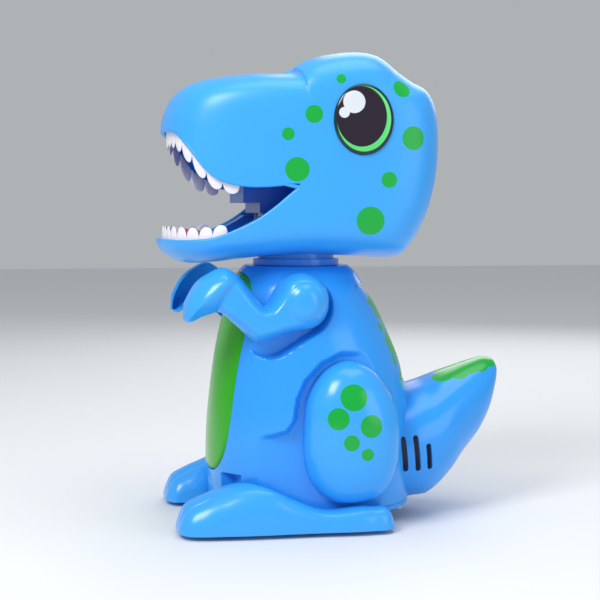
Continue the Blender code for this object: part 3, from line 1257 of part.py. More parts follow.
def make_drive():
    """Drive wheels with rubber tyres, their axle and gear, and the motor with its pinion."""
    axle_at = (0, TURRET_Y, WHEEL_RADIUS)
    hub_radius = WHEEL_RADIUS - TYRE_DEPTH - mm(0.1)
    for side, word in ((1, "left"), (-1, "right")):
        x = side * WHEEL_X
        hub = make_wheel("hub", x, TURRET_Y, WHEEL_RADIUS, hub_radius, WHEEL_WIDTH, AXLE_RADIUS + mm(0.1))
        finish(hub, f"drive_wheel_{word}", "white_plastic", pivot=axle_at)
        half = WHEEL_WIDTH / 2
        inner = WHEEL_RADIUS - TYRE_DEPTH
        profile = [
            (inner, -half), (WHEEL_RADIUS - mm(0.6), -half), (WHEEL_RADIUS, -half + mm(0.6)),
            (WHEEL_RADIUS, half - mm(0.6)), (WHEEL_RADIUS - mm(0.6), half), (inner, half),
        ]
        tyre = turned("tyre", profile, "X", (x, TURRET_Y, WHEEL_RADIUS), 24)
        finish(tyre, f"drive_tyre_{word}", "black_rubber", pivot=axle_at)
    towards = math.pi / 2
    gear = prism(
        "gear", gear_outline(DRIVE_GEAR_TEETH, (TURRET_Y, WHEEL_RADIUS), towards), "X",
        DRIVE_GEAR_X - GEAR_THICKNESS / 2, DRIVE_GEAR_X + GEAR_THICKNESS / 2,
    )
    end = WHEEL_X + WHEEL_WIDTH / 2 + mm(0.4)
    axle = cylinder("axle", "X", (-end, TURRET_Y, WHEEL_RADIUS), end, AXLE_RADIUS, segments=16)
    finish(combine(gear, axle, "UNION"), "drive_gear", "white_plastic", smooth=False, pivot=axle_at)
    reach = (DRIVE_GEAR_TEETH + PINION_TEETH) * MODULE / 2
    z = WHEEL_RADIUS + reach
    gap_towards = -math.pi / 2 + math.pi / PINION_TEETH
    inner_x = DRIVE_GEAR_X - GEAR_THICKNESS / 2 - mm(0.6)
    pinion = prism(
        "pinion", gear_outline(PINION_TEETH, (TURRET_Y, z), gap_towards),
        "X", inner_x, DRIVE_GEAR_X + GEAR_THICKNESS / 2,
    )
    finish(pinion, "drive_pinion", "white_plastic", smooth=False, pivot=(0, TURRET_Y, z))
    start = inner_x - GAP
    motor = cylinder(
        "motor", "X", (start - DRIVE_MOTOR_LENGTH, TURRET_Y, z), start, DRIVE_MOTOR_RADIUS, segments=20,
    )
    finish(motor, "drive_motor", "steel", pivot=(0, TURRET_Y, BASE_BOTTOM))


def make_rear_wheels():
    """Two free wheels on one axle behind the turret."""
    at = (0, REAR_AXLE_Y, REAR_WHEEL_RADIUS)
    for side, word in ((1, "left"), (-1, "right")):
        wheel = make_wheel(
            "wheel", side * REAR_WHEEL_X, REAR_AXLE_Y, REAR_WHEEL_RADIUS, REAR_WHEEL_RADIUS, REAR_WHEEL_WIDTH,
            AXLE_RADIUS + mm(0.1),
        )
        finish(wheel, f"rear_wheel_{word}", "grey_plastic", pivot=at)
    end = REAR_WHEEL_X + REAR_WHEEL_WIDTH / 2 + mm(0.6)
    axle = cylinder("axle", "X", (-end, REAR_AXLE_Y, REAR_WHEEL_RADIUS), end, AXLE_RADIUS, segments=16)
    finish(axle, "rear_axle", "steel", pivot=at)


make_head_shells()
make_head_screws()
make_eyes()
make_teeth()
make_mouth_liner()
make_tray()
make_tongue()
make_wand()
make_wand_drive()
make_fan()
make_neck()
make_torso()
make_arms()
make_legs()
make_battery_bay()
make_door_screw()
make_electronics()
make_turret()
make_drive()
make_rear_wheels()
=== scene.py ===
"""The finished look of a rolling dinosaur bubble machine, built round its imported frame.

Units are metres. The toy stands on Z = 0, its nose points along -Y and its own left side is +X.
Each sub-assembly is a class: its fields are its sizes and its methods build and dress its pieces.
"""

import json
import logging
import math
from dataclasses import dataclass
from enum import Enum
from typing import Any, Sequence

import bmesh
import bpy
import numpy as np
from mathutils import Matrix, Vector


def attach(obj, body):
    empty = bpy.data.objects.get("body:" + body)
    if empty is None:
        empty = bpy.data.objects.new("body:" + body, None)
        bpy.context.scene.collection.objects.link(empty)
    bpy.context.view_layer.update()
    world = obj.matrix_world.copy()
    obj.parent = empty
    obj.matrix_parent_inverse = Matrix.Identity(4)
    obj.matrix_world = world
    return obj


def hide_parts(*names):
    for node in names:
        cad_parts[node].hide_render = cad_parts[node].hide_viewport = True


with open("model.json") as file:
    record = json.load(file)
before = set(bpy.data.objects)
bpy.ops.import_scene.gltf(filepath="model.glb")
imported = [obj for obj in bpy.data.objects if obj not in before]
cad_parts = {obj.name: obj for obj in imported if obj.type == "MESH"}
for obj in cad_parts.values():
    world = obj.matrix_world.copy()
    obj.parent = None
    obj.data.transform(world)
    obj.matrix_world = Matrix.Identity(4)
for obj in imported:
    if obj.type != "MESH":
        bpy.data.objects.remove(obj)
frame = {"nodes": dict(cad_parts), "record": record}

Array = np.ndarray
LOG = logging.getLogger("bubble_machine")
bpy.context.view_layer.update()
MM = 0.001
GAP = 0.3 * MM
SEAM = 0.15 * MM
WALL = 2.2 * MM
FAR = 0.2  # beyond the toy on every side
SCREW_HOLE = 2.9 * MM


def mm(*values: float) -> Array:
    """A point or a list of sizes, given in millimetres, in metres."""
    return np.array(values) * MM


class Blend(Enum):
    """What a carving tool does to the object it meets."""

    TAKE_AWAY = "DIFFERENCE"
    ADD_ON = "UNION"


# ---------------------------------------------------------------- curves
def smooth_closed(points: Array, per_span: int) -> Array:
    """A closed Catmull-Rom curve.

    Args:
        points: the points that it passes through, one a row.
        per_span: how many points to make for each one given.

    Returns:
        The curve's points, one a row.
    """
    before, after, later = (np.roll(points, k, axis=0)[:, None] for k in (1, -1, -2))
    here = points[:, None]
    t = (np.arange(per_span) / per_span)[None, :, None]
    made = 0.5 * (
        2 * here + (after - before) * t + (2 * before - 5 * here + 4 * after - later) * t**2
        + (3 * here - before - 3 * after + later) * t**3
    )
    return made.reshape(-1, points.shape[1])


def through(knots: Array, values: Array, at: Array) -> Array:
    """Reads a smooth curve through values at knots.

    Args:
        knots: rising places.
        values: one row for each knot.
        at: the places to read, held to the knots' range.

    Returns:
        One row for each place.
    """
    at = np.clip(at, knots[0], knots[-1])
    slopes = np.gradient(values, knots, axis=0)
    i = np.clip(np.searchsorted(knots, at, side="right") - 1, 0, len(knots) - 2)
    step = (knots[i + 1] - knots[i])[:, None]
    t = (at - knots[i])[:, None] / step
    return (
        (1 + 2 * t) * (1 - t) ** 2 * values[i] + t * (1 - t) ** 2 * step * slopes[i]
        + t**2 * (3 - 2 * t) * values[i + 1] + t**2 * (t - 1) * step * slopes[i + 1]
    )


def smooth_open(points: Array, count: int) -> Array:
    """An open smooth curve through points, read at count even steps of its length."""
    lengths = np.append(0, np.cumsum(np.linalg.norm(np.diff(points, axis=0), axis=1)))
    return through(lengths, points, np.linspace(0, lengths[-1], count))


def inset(points: Array, distance: float) -> Array:
    """A closed outline moved inwards along its corners' normals, or outwards if negative."""
    following = np.roll(points, -1, axis=0)
    area = np.sum(points[:, 0] * following[:, 1] - following[:, 0] * points[:, 1])
    along = following - np.roll(points, 1, axis=0)
    along /= np.linalg.norm(along, axis=1)[:, None]
    return points + np.stack([-along[:, 1], along[:, 0]], axis=1) * math.copysign(distance, area * distance)


def signed_distance(points: Array, outline: Array) -> Array:
    """How far each point is from a closed outline, negative inside it."""
    best = np.full(len(points), np.inf)
    inside = np.zeros(len(points), bool)
    for a, b in zip(outline, np.roll(outline, -1, axis=0)):
        edge = b - a
        t = np.clip(((points - a) @ edge) / max(edge @ edge, 1e-18), 0, 1)
        best = np.minimum(best, np.linalg.norm(points - a - t[:, None] * edge, axis=1))
        crosses = (a[1] > points[:, 1]) != (b[1] > points[:, 1])
        rise = edge[1] if edge[1] else 1e-18
        inside ^= crosses & (points[:, 0] < a[0] + (points[:, 1] - a[1]) * edge[0] / rise)
    return np.where(inside, -best, best)


def blend(t: Array) -> Array:
    """A smooth step from 0 to 1."""
    t = np.clip(t, 0, 1)
    return t * t * (3 - 2 * t)


def quarter_round(t: Array) -> Array:
    """A quarter circle that rises steeply from 0 and flattens at 1."""
    return np.sqrt(1 - (1 - np.clip(t, 0, 1)) ** 2)


def superellipse(angles: Array, power: float) -> tuple[Array, Array]:
    """Cosine and sine of each angle, squared off by the power."""
    c, s = np.cos(angles), np.sin(angles)
    return np.sign(c) * np.abs(c) ** (2 / power), np.sign(s) * np.abs(s) ** (2 / power)


def oval(centre: Sequence[float], half_a: float, half_b: float, power: float = 2, count: int = 96) -> Array:
    """A superellipse outline round a centre."""
    c, s = superellipse(np.linspace(0, math.tau, count, endpoint=False), power)
    return np.stack([centre[0] + half_a * c, centre[1] + half_b * s], axis=1)


# ---------------------------------------------------------------- meshes
def sheet_faces(rows: int, columns: int, wrap: bool = True, start: int = 0) -> list[tuple[int, ...]]:
    """Faces of a grid of points that is stored row by row."""
    last = columns if wrap else columns - 1
    return [
        (start + r * columns + c, start + r * columns + (c + 1) % columns,
         start + (r + 1) * columns + (c + 1) % columns, start + (r + 1) * columns + c)
        for r in range(rows - 1) for c in range(last)
    ]


def raw_object(name: str, points: Array, faces: list[tuple[int, ...]],
               outward: bool = True) -> bpy.types.Object:
    """An object from points and faces, turned to face outwards if asked."""
    mesh = bpy.data.meshes.new(name)
    mesh.from_pydata(np.asarray(points).tolist(), [], faces)
    if outward:
        bm = bmesh.new()
        bm.from_mesh(mesh)
        bmesh.ops.recalc_face_normals(bm, faces=bm.faces)
        bm.to_mesh(mesh)
        bm.free()
    obj = bpy.data.objects.new(name, mesh)
    bpy.context.scene.collection.objects.link(obj)
    return obj


def loft(name: str, rings: Array) -> bpy.types.Object:
    """A closed solid skinned over equal rings, with a fan of faces at each end."""
    count, columns = rings.shape[:2]
    points = np.concatenate([rings.reshape(-1, 3), rings[:1].mean(axis=1), rings[-1:].mean(axis=1)])
    faces = sheet_faces(count, columns)
    first, last, base = count * columns, count * columns + 1, (count - 1) * columns
    faces += [(first, (c + 1) % columns, c) for c in range(columns)]
    faces += [(last, base + c, base + (c + 1) % columns) for c in range(columns)]
    return raw_object(name, points, faces)


AXIS_TURN = {  # puts a shape's own Z along an axis of the toy
    "X": Matrix(((0, 0, 1, 0), (1, 0, 0, 0), (0, 1, 0, 0), (0, 0, 0, 1))),
    "Y": Matrix.Rotation(-math.pi / 2, 4, "X"),
    "Z": Matrix(),
}
FACING = {**AXIS_TURN, "Y": Matrix.Rotation(math.pi / 2, 4, "X")}


def prism(name: str, outline: Array, axis: str, low: float, high: float) -> bpy.types.Object:
    """A flat outline pushed along an axis. Its points give the two other axes, in XYZ order."""
    count = len(outline)
    flat = [(a, b, h) for h in (-0.5, 0.5) for a, b in outline]
    faces = [tuple(range(count)), tuple(range(count, 2 * count))]
    faces += [(i, (i + 1) % count, count + (i + 1) % count, count + i) for i in range(count)]
    obj = raw_object(name, np.array(flat), faces)
    middle = [0.0, 0.0, 0.0]
    middle["XYZ".index(axis)] = (low + high) / 2
    stretch = Matrix.Diagonal((1, 1, high - low, 1))
    obj.data.transform(Matrix.Translation(middle) @ FACING[axis] @ stretch)
    return obj


def block(name: str, low: Sequence[float], high: Sequence[float]) -> bpy.types.Object:
    """A cutter's box between two corners."""
    corners = np.array([(low[0], low[1]), (high[0], low[1]), (high[0], high[1]), (low[0], high[1])])
    return prism(name, corners, "Z", low[2], high[2])


def lathe(name: str, profile: Sequence[Sequence[float]], axis: str, centre: Sequence[float],
          steps: int = 96, rounding: float = 0.0) -> bpy.types.Object:
    """A closed (radius, height) profile turned about an axis, with its corners rounded if asked.

    Args:
        name: the object's name.
        profile: the section's corners in order, in metres.
        axis: "X", "Y" or "Z".
        centre: a point on the axis, from which the heights count.
        steps: how many sections there are round the axis.
        rounding: the radius cut off each corner.

    Returns:
        The new object.
    """
    corners = np.array(profile, float)
    if rounding:
        corners = rounded(corners, rounding)
    angles = np.linspace(0, math.tau, steps, endpoint=False)
    rings = np.stack([
        np.stack([corners[:, 0] * math.cos(a), corners[:, 0] * math.sin(a), corners[:, 1]], axis=1)
        for a in angles
    ])
    columns = len(corners)
    faces = sheet_faces(steps, columns)
    base = (steps - 1) * columns
    faces += [(base + c, base + (c + 1) % columns, (c + 1) % columns, c) for c in range(columns)]
    obj = raw_object(name, rings.reshape(-1, 3), faces)
    obj.data.transform(Matrix.Translation(centre) @ AXIS_TURN[axis])
    return obj


def rounded(corners: Array, radius: float, steps: int = 3) -> Array:
    """A closed outline with each corner replaced by a short smooth bend."""
    made = []
    for i, corner in enumerate(corners):
        before, after = corners[i - 1] - corner, corners[(i + 1) % len(corners)] - corner
        reach = [min(radius, 0.45 * np.linalg.norm(v)) / np.linalg.norm(v) for v in (before, after)]
        start, end = corner + before * reach[0], corner + after * reach[1]
        for t in np.linspace(0, 1, steps + 1):
            made.append((1 - t) ** 2 * start + 2 * t * (1 - t) * corner + t**2 * end)
    return np.array(made)


def carve(obj: bpy.types.Object, tool: bpy.types.Object, how: Blend = Blend.TAKE_AWAY) -> bpy.types.Object:
    """Applies a Boolean to obj at once.

    Args:
        obj: the object that changes.
        tool: the other solid, removed afterwards.
        how: what the tool does.

    Returns:
        obj.
    """
    modifier = obj.modifiers.new("cut", "BOOLEAN")
    modifier.operation, modifier.solver, modifier.object = how.value, "EXACT", tool
    bpy.context.view_layer.update()
    mesh = bpy.data.meshes.new_from_object(obj.evaluated_get(bpy.context.evaluated_depsgraph_get()))
    obj.modifiers.clear()
    obj.data = mesh
    bpy.data.objects.remove(tool)
    return obj


def twin(obj: bpy.types.Object, name: str) -> bpy.types.Object:
    """A separate copy of an object."""
    made = bpy.data.objects.new(name, obj.data.copy())
    bpy.context.scene.collection.objects.link(made)
    return made


def flipped(obj: bpy.types.Object, name: str) -> bpy.types.Object:
    """The same shape on the toy's other side."""
    made = twin(obj, name)
    made.data.transform(Matrix.Scale(-1, 4, (1, 0, 0)))
    made.data.flip_normals()
    return made


def join(name: str, objects: Sequence[bpy.types.Object]) -> bpy.types.Object:
    """One object with the meshes of several, which are removed."""
    bm = bmesh.new()
    for obj in objects:
        bm.from_mesh(obj.data)
        bpy.data.objects.remove(obj)
    mesh = bpy.data.meshes.new(name)
    bm.to_mesh(mesh)
    bm.free()
    made = bpy.data.objects.new(name, mesh)
    bpy.context.scene.collection.objects.link(made)
    return made


def tube(name: str, path: Array, radius: float, sides: int = 12) -> bpy.types.Object:
    """A round bead along a path, with closed ends."""
    ahead = np.gradient(path, axis=0)
    ahead /= np.linalg.norm(ahead, axis=1)[:, None]
    across = np.cross(ahead, np.array([0.31, 0.22, 0.93]))
    across /= np.linalg.norm(across, axis=1)[:, None]
    up = np.cross(across, ahead)
    angles = np.linspace(0, math.tau, sides, endpoint=False)[None, :, None]
    rings = path[:, None] + radius * (np.cos(angles) * across[:, None] + np.sin(angles) * up[:, None])
    return loft(name, rings)


def dress(obj: bpy.types.Object, name: str, finish: bpy.types.Material, body: str, nodes: Sequence[str] = (),
          smooth_angle: float = 35.0) -> bpy.types.Object:
    """Names, shades and paints a finished piece and ties it to the frame.

    Args:
        obj: the piece, in place.
        name: its name.
        finish: its material.
        body: the CAD body that it rides on.
        nodes: the CAD nodes that it stands for.
        smooth_angle: edges sharper than this many degrees stay sharp.

    Returns:
        obj.
    """
    obj.name = name
    obj.data.name = name
    obj.data.materials.clear()
    obj.data.materials.append(finish)
    obj.data.shade_smooth()
    obj.data.set_sharp_from_angle(angle=math.radians(smooth_angle))
    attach(obj, body)
    if nodes:
        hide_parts(*nodes)
    LOG.info("%s: %d faces on %s", name, len(obj.data.polygons), body)
    return obj


# ---------------------------------------------------------------- finishes
def linear(hex_colour: str) -> tuple[float, float, float, float]:
    """An sRGB hex colour as the linear colour that shaders take."""
    parts = [int(hex_colour[i : i + 2], 16) / 255 for i in (1, 3, 5)]
    made = [c / 12.92 if c <= 0.04045 else ((c + 0.055) / 1.055) ** 2.4 for c in parts]
    return (made[0], made[1], made[2], 1.0)


def add(tree: bpy.types.NodeTree, kind: str, inputs: dict[str | int, Any] | None = None,
        **settings: Any) -> Any:
    """Adds a shader node.

    Args:
        tree: the material's node tree.
        kind: the node's type without "ShaderNode".
        inputs: what goes into each socket, by name or place: another node's output, or a constant.
        settings: the node's own properties.

    Returns:
        The new node.
    """
    node = tree.nodes.new("ShaderNode" + kind)
    for name, value in settings.items():
        setattr(node, name, value)
    for socket, value in (inputs or {}).items():
        if isinstance(value, bpy.types.NodeSocket):
            tree.links.new(value, node.inputs[socket])
        else:
            node.inputs[socket].default_value = value
    return node


@dataclass(frozen=True)
class Spot:
    """A round patch of paint: its centre in metres on the toy's left side, and its radius."""

    centre: tuple[float, float, float]
    radius: float


@dataclass(frozen=True)
class MouldedPlastic:
    """Injection-moulded ABS or PP: an even colour under a faintly wavy gloss.

    Args:
        name: the material's name.
        colour: sRGB hex.
        roughness: of the moulded face.
        ripple: the height in metres of the skin's waviness, which softens its reflections.
        depth: how much light enters, for thin pale walls.
        paint: sRGB hex of the spots.
        spots: where they are.
    """

    name: str
    colour: str
    roughness: float = 0.28
    ripple: float = 0.00002
    depth: float = 0.0
    paint: str = "#00A93A"
    spots: tuple[Spot, ...] = ()

    def build(self) -> bpy.types.Material:
        """The finish as a new material."""
        material = bpy.data.materials.new(self.name)
        material.use_nodes = True
        tree = material.node_tree
        shader = tree.nodes["Principled BSDF"]
        shader.inputs["Base Color"].default_value = linear(self.colour)
        shader.inputs["Roughness"].default_value = self.roughness
        shader.inputs["IOR"].default_value = 1.5
        if self.depth:
            shader.inputs["Subsurface Weight"].default_value = self.depth
            shader.inputs["Subsurface Radius"].default_value = (1.0, 0.9, 0.9)
            shader.inputs["Subsurface Scale"].default_value = 1.5 * MM
        place = add(tree, "TexCoord").outputs["Object"]
        flow = add(tree, "TexNoise", {"Vector": place, "Scale": 110.0, "Detail": 2.0})
        bump = add(tree, "Bump", {"Height": flow.outputs["Fac"], "Distance": self.ripple, "Strength": 1.0})
        tree.links.new(bump.outputs["Normal"], shader.inputs["Normal"])
        if self.spots:
            edge = self.painted(tree, place)
            mix = add(tree, "Mix", {0: edge, 6: linear(self.colour), 7: linear(self.paint)}, data_type="RGBA")
            tree.links.new(mix.outputs[2], shader.inputs["Base Color"])
        return material

    def painted(self, tree: bpy.types.NodeTree, place: bpy.types.NodeSocket) -> bpy.types.NodeSocket:
        """A mask that is 1 on the spots of both sides and 0 off them."""
        split = add(tree, "SeparateXYZ", {0: place})
        side = add(tree, "Math", {0: split.outputs[0]}, operation="ABSOLUTE")
        folded = {0: side.outputs[0], 1: split.outputs[1], 2: split.outputs[2]}
        both = add(tree, "CombineXYZ", folded).outputs[0]
        nearest = None
        for spot in self.spots:
            away = add(tree, "VectorMath", {0: both, 1: spot.centre}, operation="DISTANCE")
            depth = {0: spot.radius, 1: away.outputs["Value"]}
            left = add(tree, "Math", depth, operation="SUBTRACT").outputs[0]
            if nearest is not None:
                left = add(tree, "Math", {0: nearest, 1: left}, operation="MAXIMUM").outputs[0]
            nearest = left
        return add(
            tree, "MapRange", {0: nearest, 1: -0.1 * MM, 2: 0.1 * MM}, interpolation_type="SMOOTHSTEP",
        ).outputs[0]


@dataclass(frozen=True)
class PlatedSteel:
    """Zinc-plated steel: a metal with fine brushed streaks."""

    name: str = "steel_zinc_plated"
    colour: str = "#B4B6BA"
    roughness: float = 0.32

    def build(self) -> bpy.types.Material:
        """The finish as a new material."""
        material = bpy.data.materials.new(self.name)
        material.use_nodes = True
        tree = material.node_tree
        shader = tree.nodes["Principled BSDF"]
        shader.inputs["Base Color"].default_value = linear(self.colour)
        shader.inputs["Metallic"].default_value = 1.0
        place = add(tree, "TexCoord").outputs["Object"]
        streak = add(tree, "TexNoise", {"Vector": place, "Scale": 900.0, "Detail": 4.0})
        least, most = self.roughness - 0.1, self.roughness + 0.12
        rough = add(tree, "MapRange", {0: streak.outputs["Fac"], 3: least, 4: most})
        tree.links.new(rough.outputs[0], shader.inputs["Roughness"])
        return material


@dataclass(frozen=True)
class Rubber:
    """Black moulded rubber: dark and matt with a fine grain."""

    name: str = "rubber_black_moulded"
    colour: str = "#1C1C1E"

    def build(self) -> bpy.types.Material:
        """The finish as a new material."""
        material = bpy.data.materials.new(self.name)
        material.use_nodes = True
        tree = material.node_tree
        shader = tree.nodes["Principled BSDF"]
        shader.inputs["Base Color"].default_value = linear(self.colour)
        shader.inputs["Roughness"].default_value = 0.75
        shader.inputs["IOR"].default_value = 1.52
        place = add(tree, "TexCoord").outputs["Object"]
        grain = add(tree, "TexNoise", {"Vector": place, "Scale": 2500.0, "Detail": 3.0})
        bump = add(tree, "Bump", {"Height": grain.outputs["Fac"], "Distance": 0.00004, "Strength": 1.0})
        tree.links.new(bump.outputs["Normal"], shader.inputs["Normal"])
        return material


@dataclass(frozen=True)
class PrintedEye:
    """A pad-printed eye under clear lacquer: outline, green iris, dark pupil and two lights.

    Args:
        name: the material's name.
        centre: the eye's middle as (y, z).
        half: the eye's half length and half height.
    """

    name: str
    centre: tuple[float, float]
    half: tuple[float, float]
    rim: str = "#06302F"
    iris: str = "#5ADC78"
    pupil: str = "#241A2A"
    glint: str = "#DCE3EA"

    def build(self) -> bpy.types.Material:
        """The finish as a new material."""
        material = bpy.data.materials.new(self.name)
        material.use_nodes = True
        tree = material.node_tree
        shader = tree.nodes["Principled BSDF"]
        shader.inputs["Roughness"].default_value = 0.12
        shader.inputs["IOR"].default_value = 1.5
        split = add(tree, "SeparateXYZ", {0: add(tree, "TexCoord").outputs["Object"]})
        y, z = self.centre
        w, h = self.half
        colour: Any = linear(self.rim)
        for tint, dy, dz, ry, rz in (
            (self.iris, -0.2 * MM, 0.2 * MM, w - 1.4 * MM, h - 1.5 * MM),
            (self.pupil, -1.3 * MM, 1.3 * MM, w - 2.3 * MM, h - 2.6 * MM),
            (self.glint, -4.9 * MM, 8.0 * MM, 5.2 * MM, 5.2 * MM),
            (self.glint, -9.5 * MM, 3.1 * MM, 2.5 * MM, 2.5 * MM),
        ):
            inside = self.ellipse(tree, split, (y + dy, z + dz), (ry, rz))
            mix = add(tree, "Mix", {0: inside, 6: colour, 7: linear(tint)}, data_type="RGBA")
            colour = mix.outputs[2]
        tree.links.new(colour, shader.inputs["Base Color"])
        return material

    def ellipse(self, tree: bpy.types.NodeTree, split: Any, centre: Sequence[float],
                half: Sequence[float]) -> bpy.types.NodeSocket:
        """A mask that is 1 inside an ellipse seen from the side."""
        parts = []
        for socket, middle, reach in zip((1, 2), centre, half):
            off = add(tree, "Math", {0: split.outputs[socket], 1: middle}, operation="SUBTRACT")
            share = add(tree, "Math", {0: off.outputs[0], 1: reach}, operation="DIVIDE")
            parts.append(add(tree, "Math", {0: share.outputs[0], 1: 2.0}, operation="POWER").outputs[0])
        total = add(tree, "Math", {0: parts[0], 1: parts[1]}, operation="ADD").outputs[0]
        soft = 0.2 * MM / min(half)
        return add(tree, "MapRange", {0: total, 1: 1 + soft, 2: 1 - soft}).outputs[0]


# ---------------------------------------------------------------- head
@dataclass(frozen=True)
class HeadForm:
    """The head's pillow shape. Outlines are (y, z) points in millimetres, in order from the upper lip."""

    centre: tuple[float, float] = (-14, 178)
    half_width: float = 52
    taper: tuple[float, float, float] = (15, 12, 98)
    edge_power: float = 10
    side_power: float = 2.2
    brow_from: float = 8
    brow_to: float = 24
    snout: tuple = ((-84.8, 191.5), (-83, 201), (-77.2, 210.5), (-66, 216.2), (-45, 219.3), (-24.5, 219.9))
    brow: tuple = ((-21.5, 223.4), (-13.5, 227.4), (5, 230.5), (18, 229), (28.5, 221.5), (36, 216.5))
    crown: tuple = ((-21.5, 220.1), (-13.5, 220.4), (5, 220.8), (18, 220.3), (28.5, 218.5), (36, 216))
    back: tuple = ((44, 212), (48.6, 202), (50, 185), (48.4, 167), (43.6, 150), (35.6, 135.5))
    jaw: tuple = (
        (28, 130), (10, 130.6), (-15, 131.5), (-40, 130.2), (-60, 128), (-73, 127.6),
        (-82, 131), (-87, 137.5), (-88.5, 152), (-86.8, 172),
    )

    def outline(self, per_span: int, offset: float, top: tuple | None = None) -> Array:
        """The side outline, inset by offset metres, with its crown instead of its brow if that is given."""
        points = mm(*self.snout, *(top or self.brow), *self.back, *self.jaw)
        return inset(smooth_closed(points, per_span), offset)

    def width(self, y: Array) -> Array:
        """Half the head's width at a distance along it."""
        narrower, start, length = mm(*self.taper)
        return self.half_width * MM - narrower * ((y - start) / length) ** 2

    def shares(self, rows: int) -> Array:
        """Shares of the outline, even along the section from the middle plane to the side's middle."""
        bulge = np.linspace(0, 0.9, 400)
        steep = (1 - bulge**self.side_power) ** (1 / self.edge_power)
        share = np.unique(np.concatenate([steep, np.linspace(0.03, 1, 400)]))[::-1]
        rise = (1 - share**self.edge_power) ** (1 / self.side_power)
        length = np.append(0, np.cumsum(np.hypot(np.diff(share * 60), np.diff(rise * 50))))
        return np.interp(np.linspace(0, length[-1], rows), length, share)

    def half(self, rows: int, per_span: int, offset: float) -> Array:
        """The left half as rings, from the middle plane to the side's middle."""
        side = self.outline(per_span, offset)[None]
        middle = self.outline(per_span, offset, self.crown)[None]
        share = self.shares(rows)[:, None]
        bulge = (1 - share**self.edge_power) ** (1 / self.side_power)
        x = bulge * (self.width(side[..., 0]) - offset)
        risen = blend((x - self.brow_from * MM) / ((self.brow_to - self.brow_from) * MM))[..., None]
        centre = mm(*self.centre)
        flat = centre + (middle + (side - middle) * risen - centre) * share[..., None]
        x = np.maximum(bulge * (self.width(flat[..., 0]) - offset), SEAM)
        return np.concatenate([x[..., None], flat], axis=2)

    def side_x(self, flat: Array, offset: float) -> Array:
        """How far out the side is at points seen from the side, or 0 outside the outline."""
        centre = mm(*self.centre)
        edge = self.outline(24, offset) - centre
        angles = np.arctan2(edge[:, 1], edge[:, 0])
        order = np.argsort(angles)
        away = flat - centre
        reach = np.interp(
            np.arctan2(away[:, 1], away[:, 0]), angles[order], np.hypot(*edge[order].T), period=math.tau,
        )
        share = np.clip(np.hypot(*away.T) / reach, 0, 1)
        bulge = (1 - share**self.edge_power) ** (1 / self.side_power)
        return (self.width(flat[:, 0]) - offset) * bulge


@dataclass(frozen=True)
class Mouth:
    """The open mouth's lips, seen from the side, in millimetres."""

    lower: tuple = (
        (-88.7, 139.6), (-75.9, 139.3), (-62.5, 140.8), (-53.5, 144.4), (-44.5, 148.8),
        (-35.5, 155.1), (-28.2, 161.3), (-24.2, 164.6),
    )
    upper: tuple = (
        (-30.9, 164.6), (-40, 163.9), (-49, 164.1), (-55.6, 165.2), (-63, 168.3),
        (-68.7, 173.6), (-72.6, 178.9), (-76.4, 184.3), (-80.4, 189.5), (-86, 192),
    )
    front: float = -110
    bead: float = 1.1

    def outline(self, clearance: float) -> Array:
        """The opening's outline, run out past the nose and moved outwards by the clearance."""
        lower, upper = smooth_open(mm(*self.lower), 60), smooth_open(mm(*self.upper), 60)
        front = np.array([(self.front * MM, upper[-1][1]), (self.front * MM, lower[0][1])])
        return inset(np.concatenate([lower, upper, front]), -clearance)

    def on_shell(self, form: HeadForm, lip: tuple, offset: float, clearance: float, count: int) -> Array:
        """A lip's path on the left shell from its corner to the middle plane, at even steps.

        Args:
            form: the head.
            lip: the lip's points.
            offset: how deep under the head's surface the path runs.
            clearance: how far outside the opening it runs.
            count: how many points to make.

        Returns:
            The path's points.
        """
        flat = smooth_open(mm(*lip), 6000)
        along = np.gradient(flat, axis=0)
        along /= np.linalg.norm(along, axis=1)[:, None]
        flat = flat + np.stack([along[:, 1], -along[:, 0]], axis=1) * clearance
        if flat[0, 0] < flat[-1, 0]:
            flat = flat[::-1]
        x = form.side_x(flat, offset)
        reached = x > 1e-6
        path = np.column_stack([x[reached], flat[reached]])
        path = np.vstack([path, [SEAM, path[-1, 1], path[-1, 2]]])
        length = np.append(0, np.cumsum(np.linalg.norm(np.diff(path, axis=0), axis=1)))
        even = np.linspace(0, length[-1], count)
        return np.column_stack([np.interp(even, length, path[:, k]) for k in range(3)])


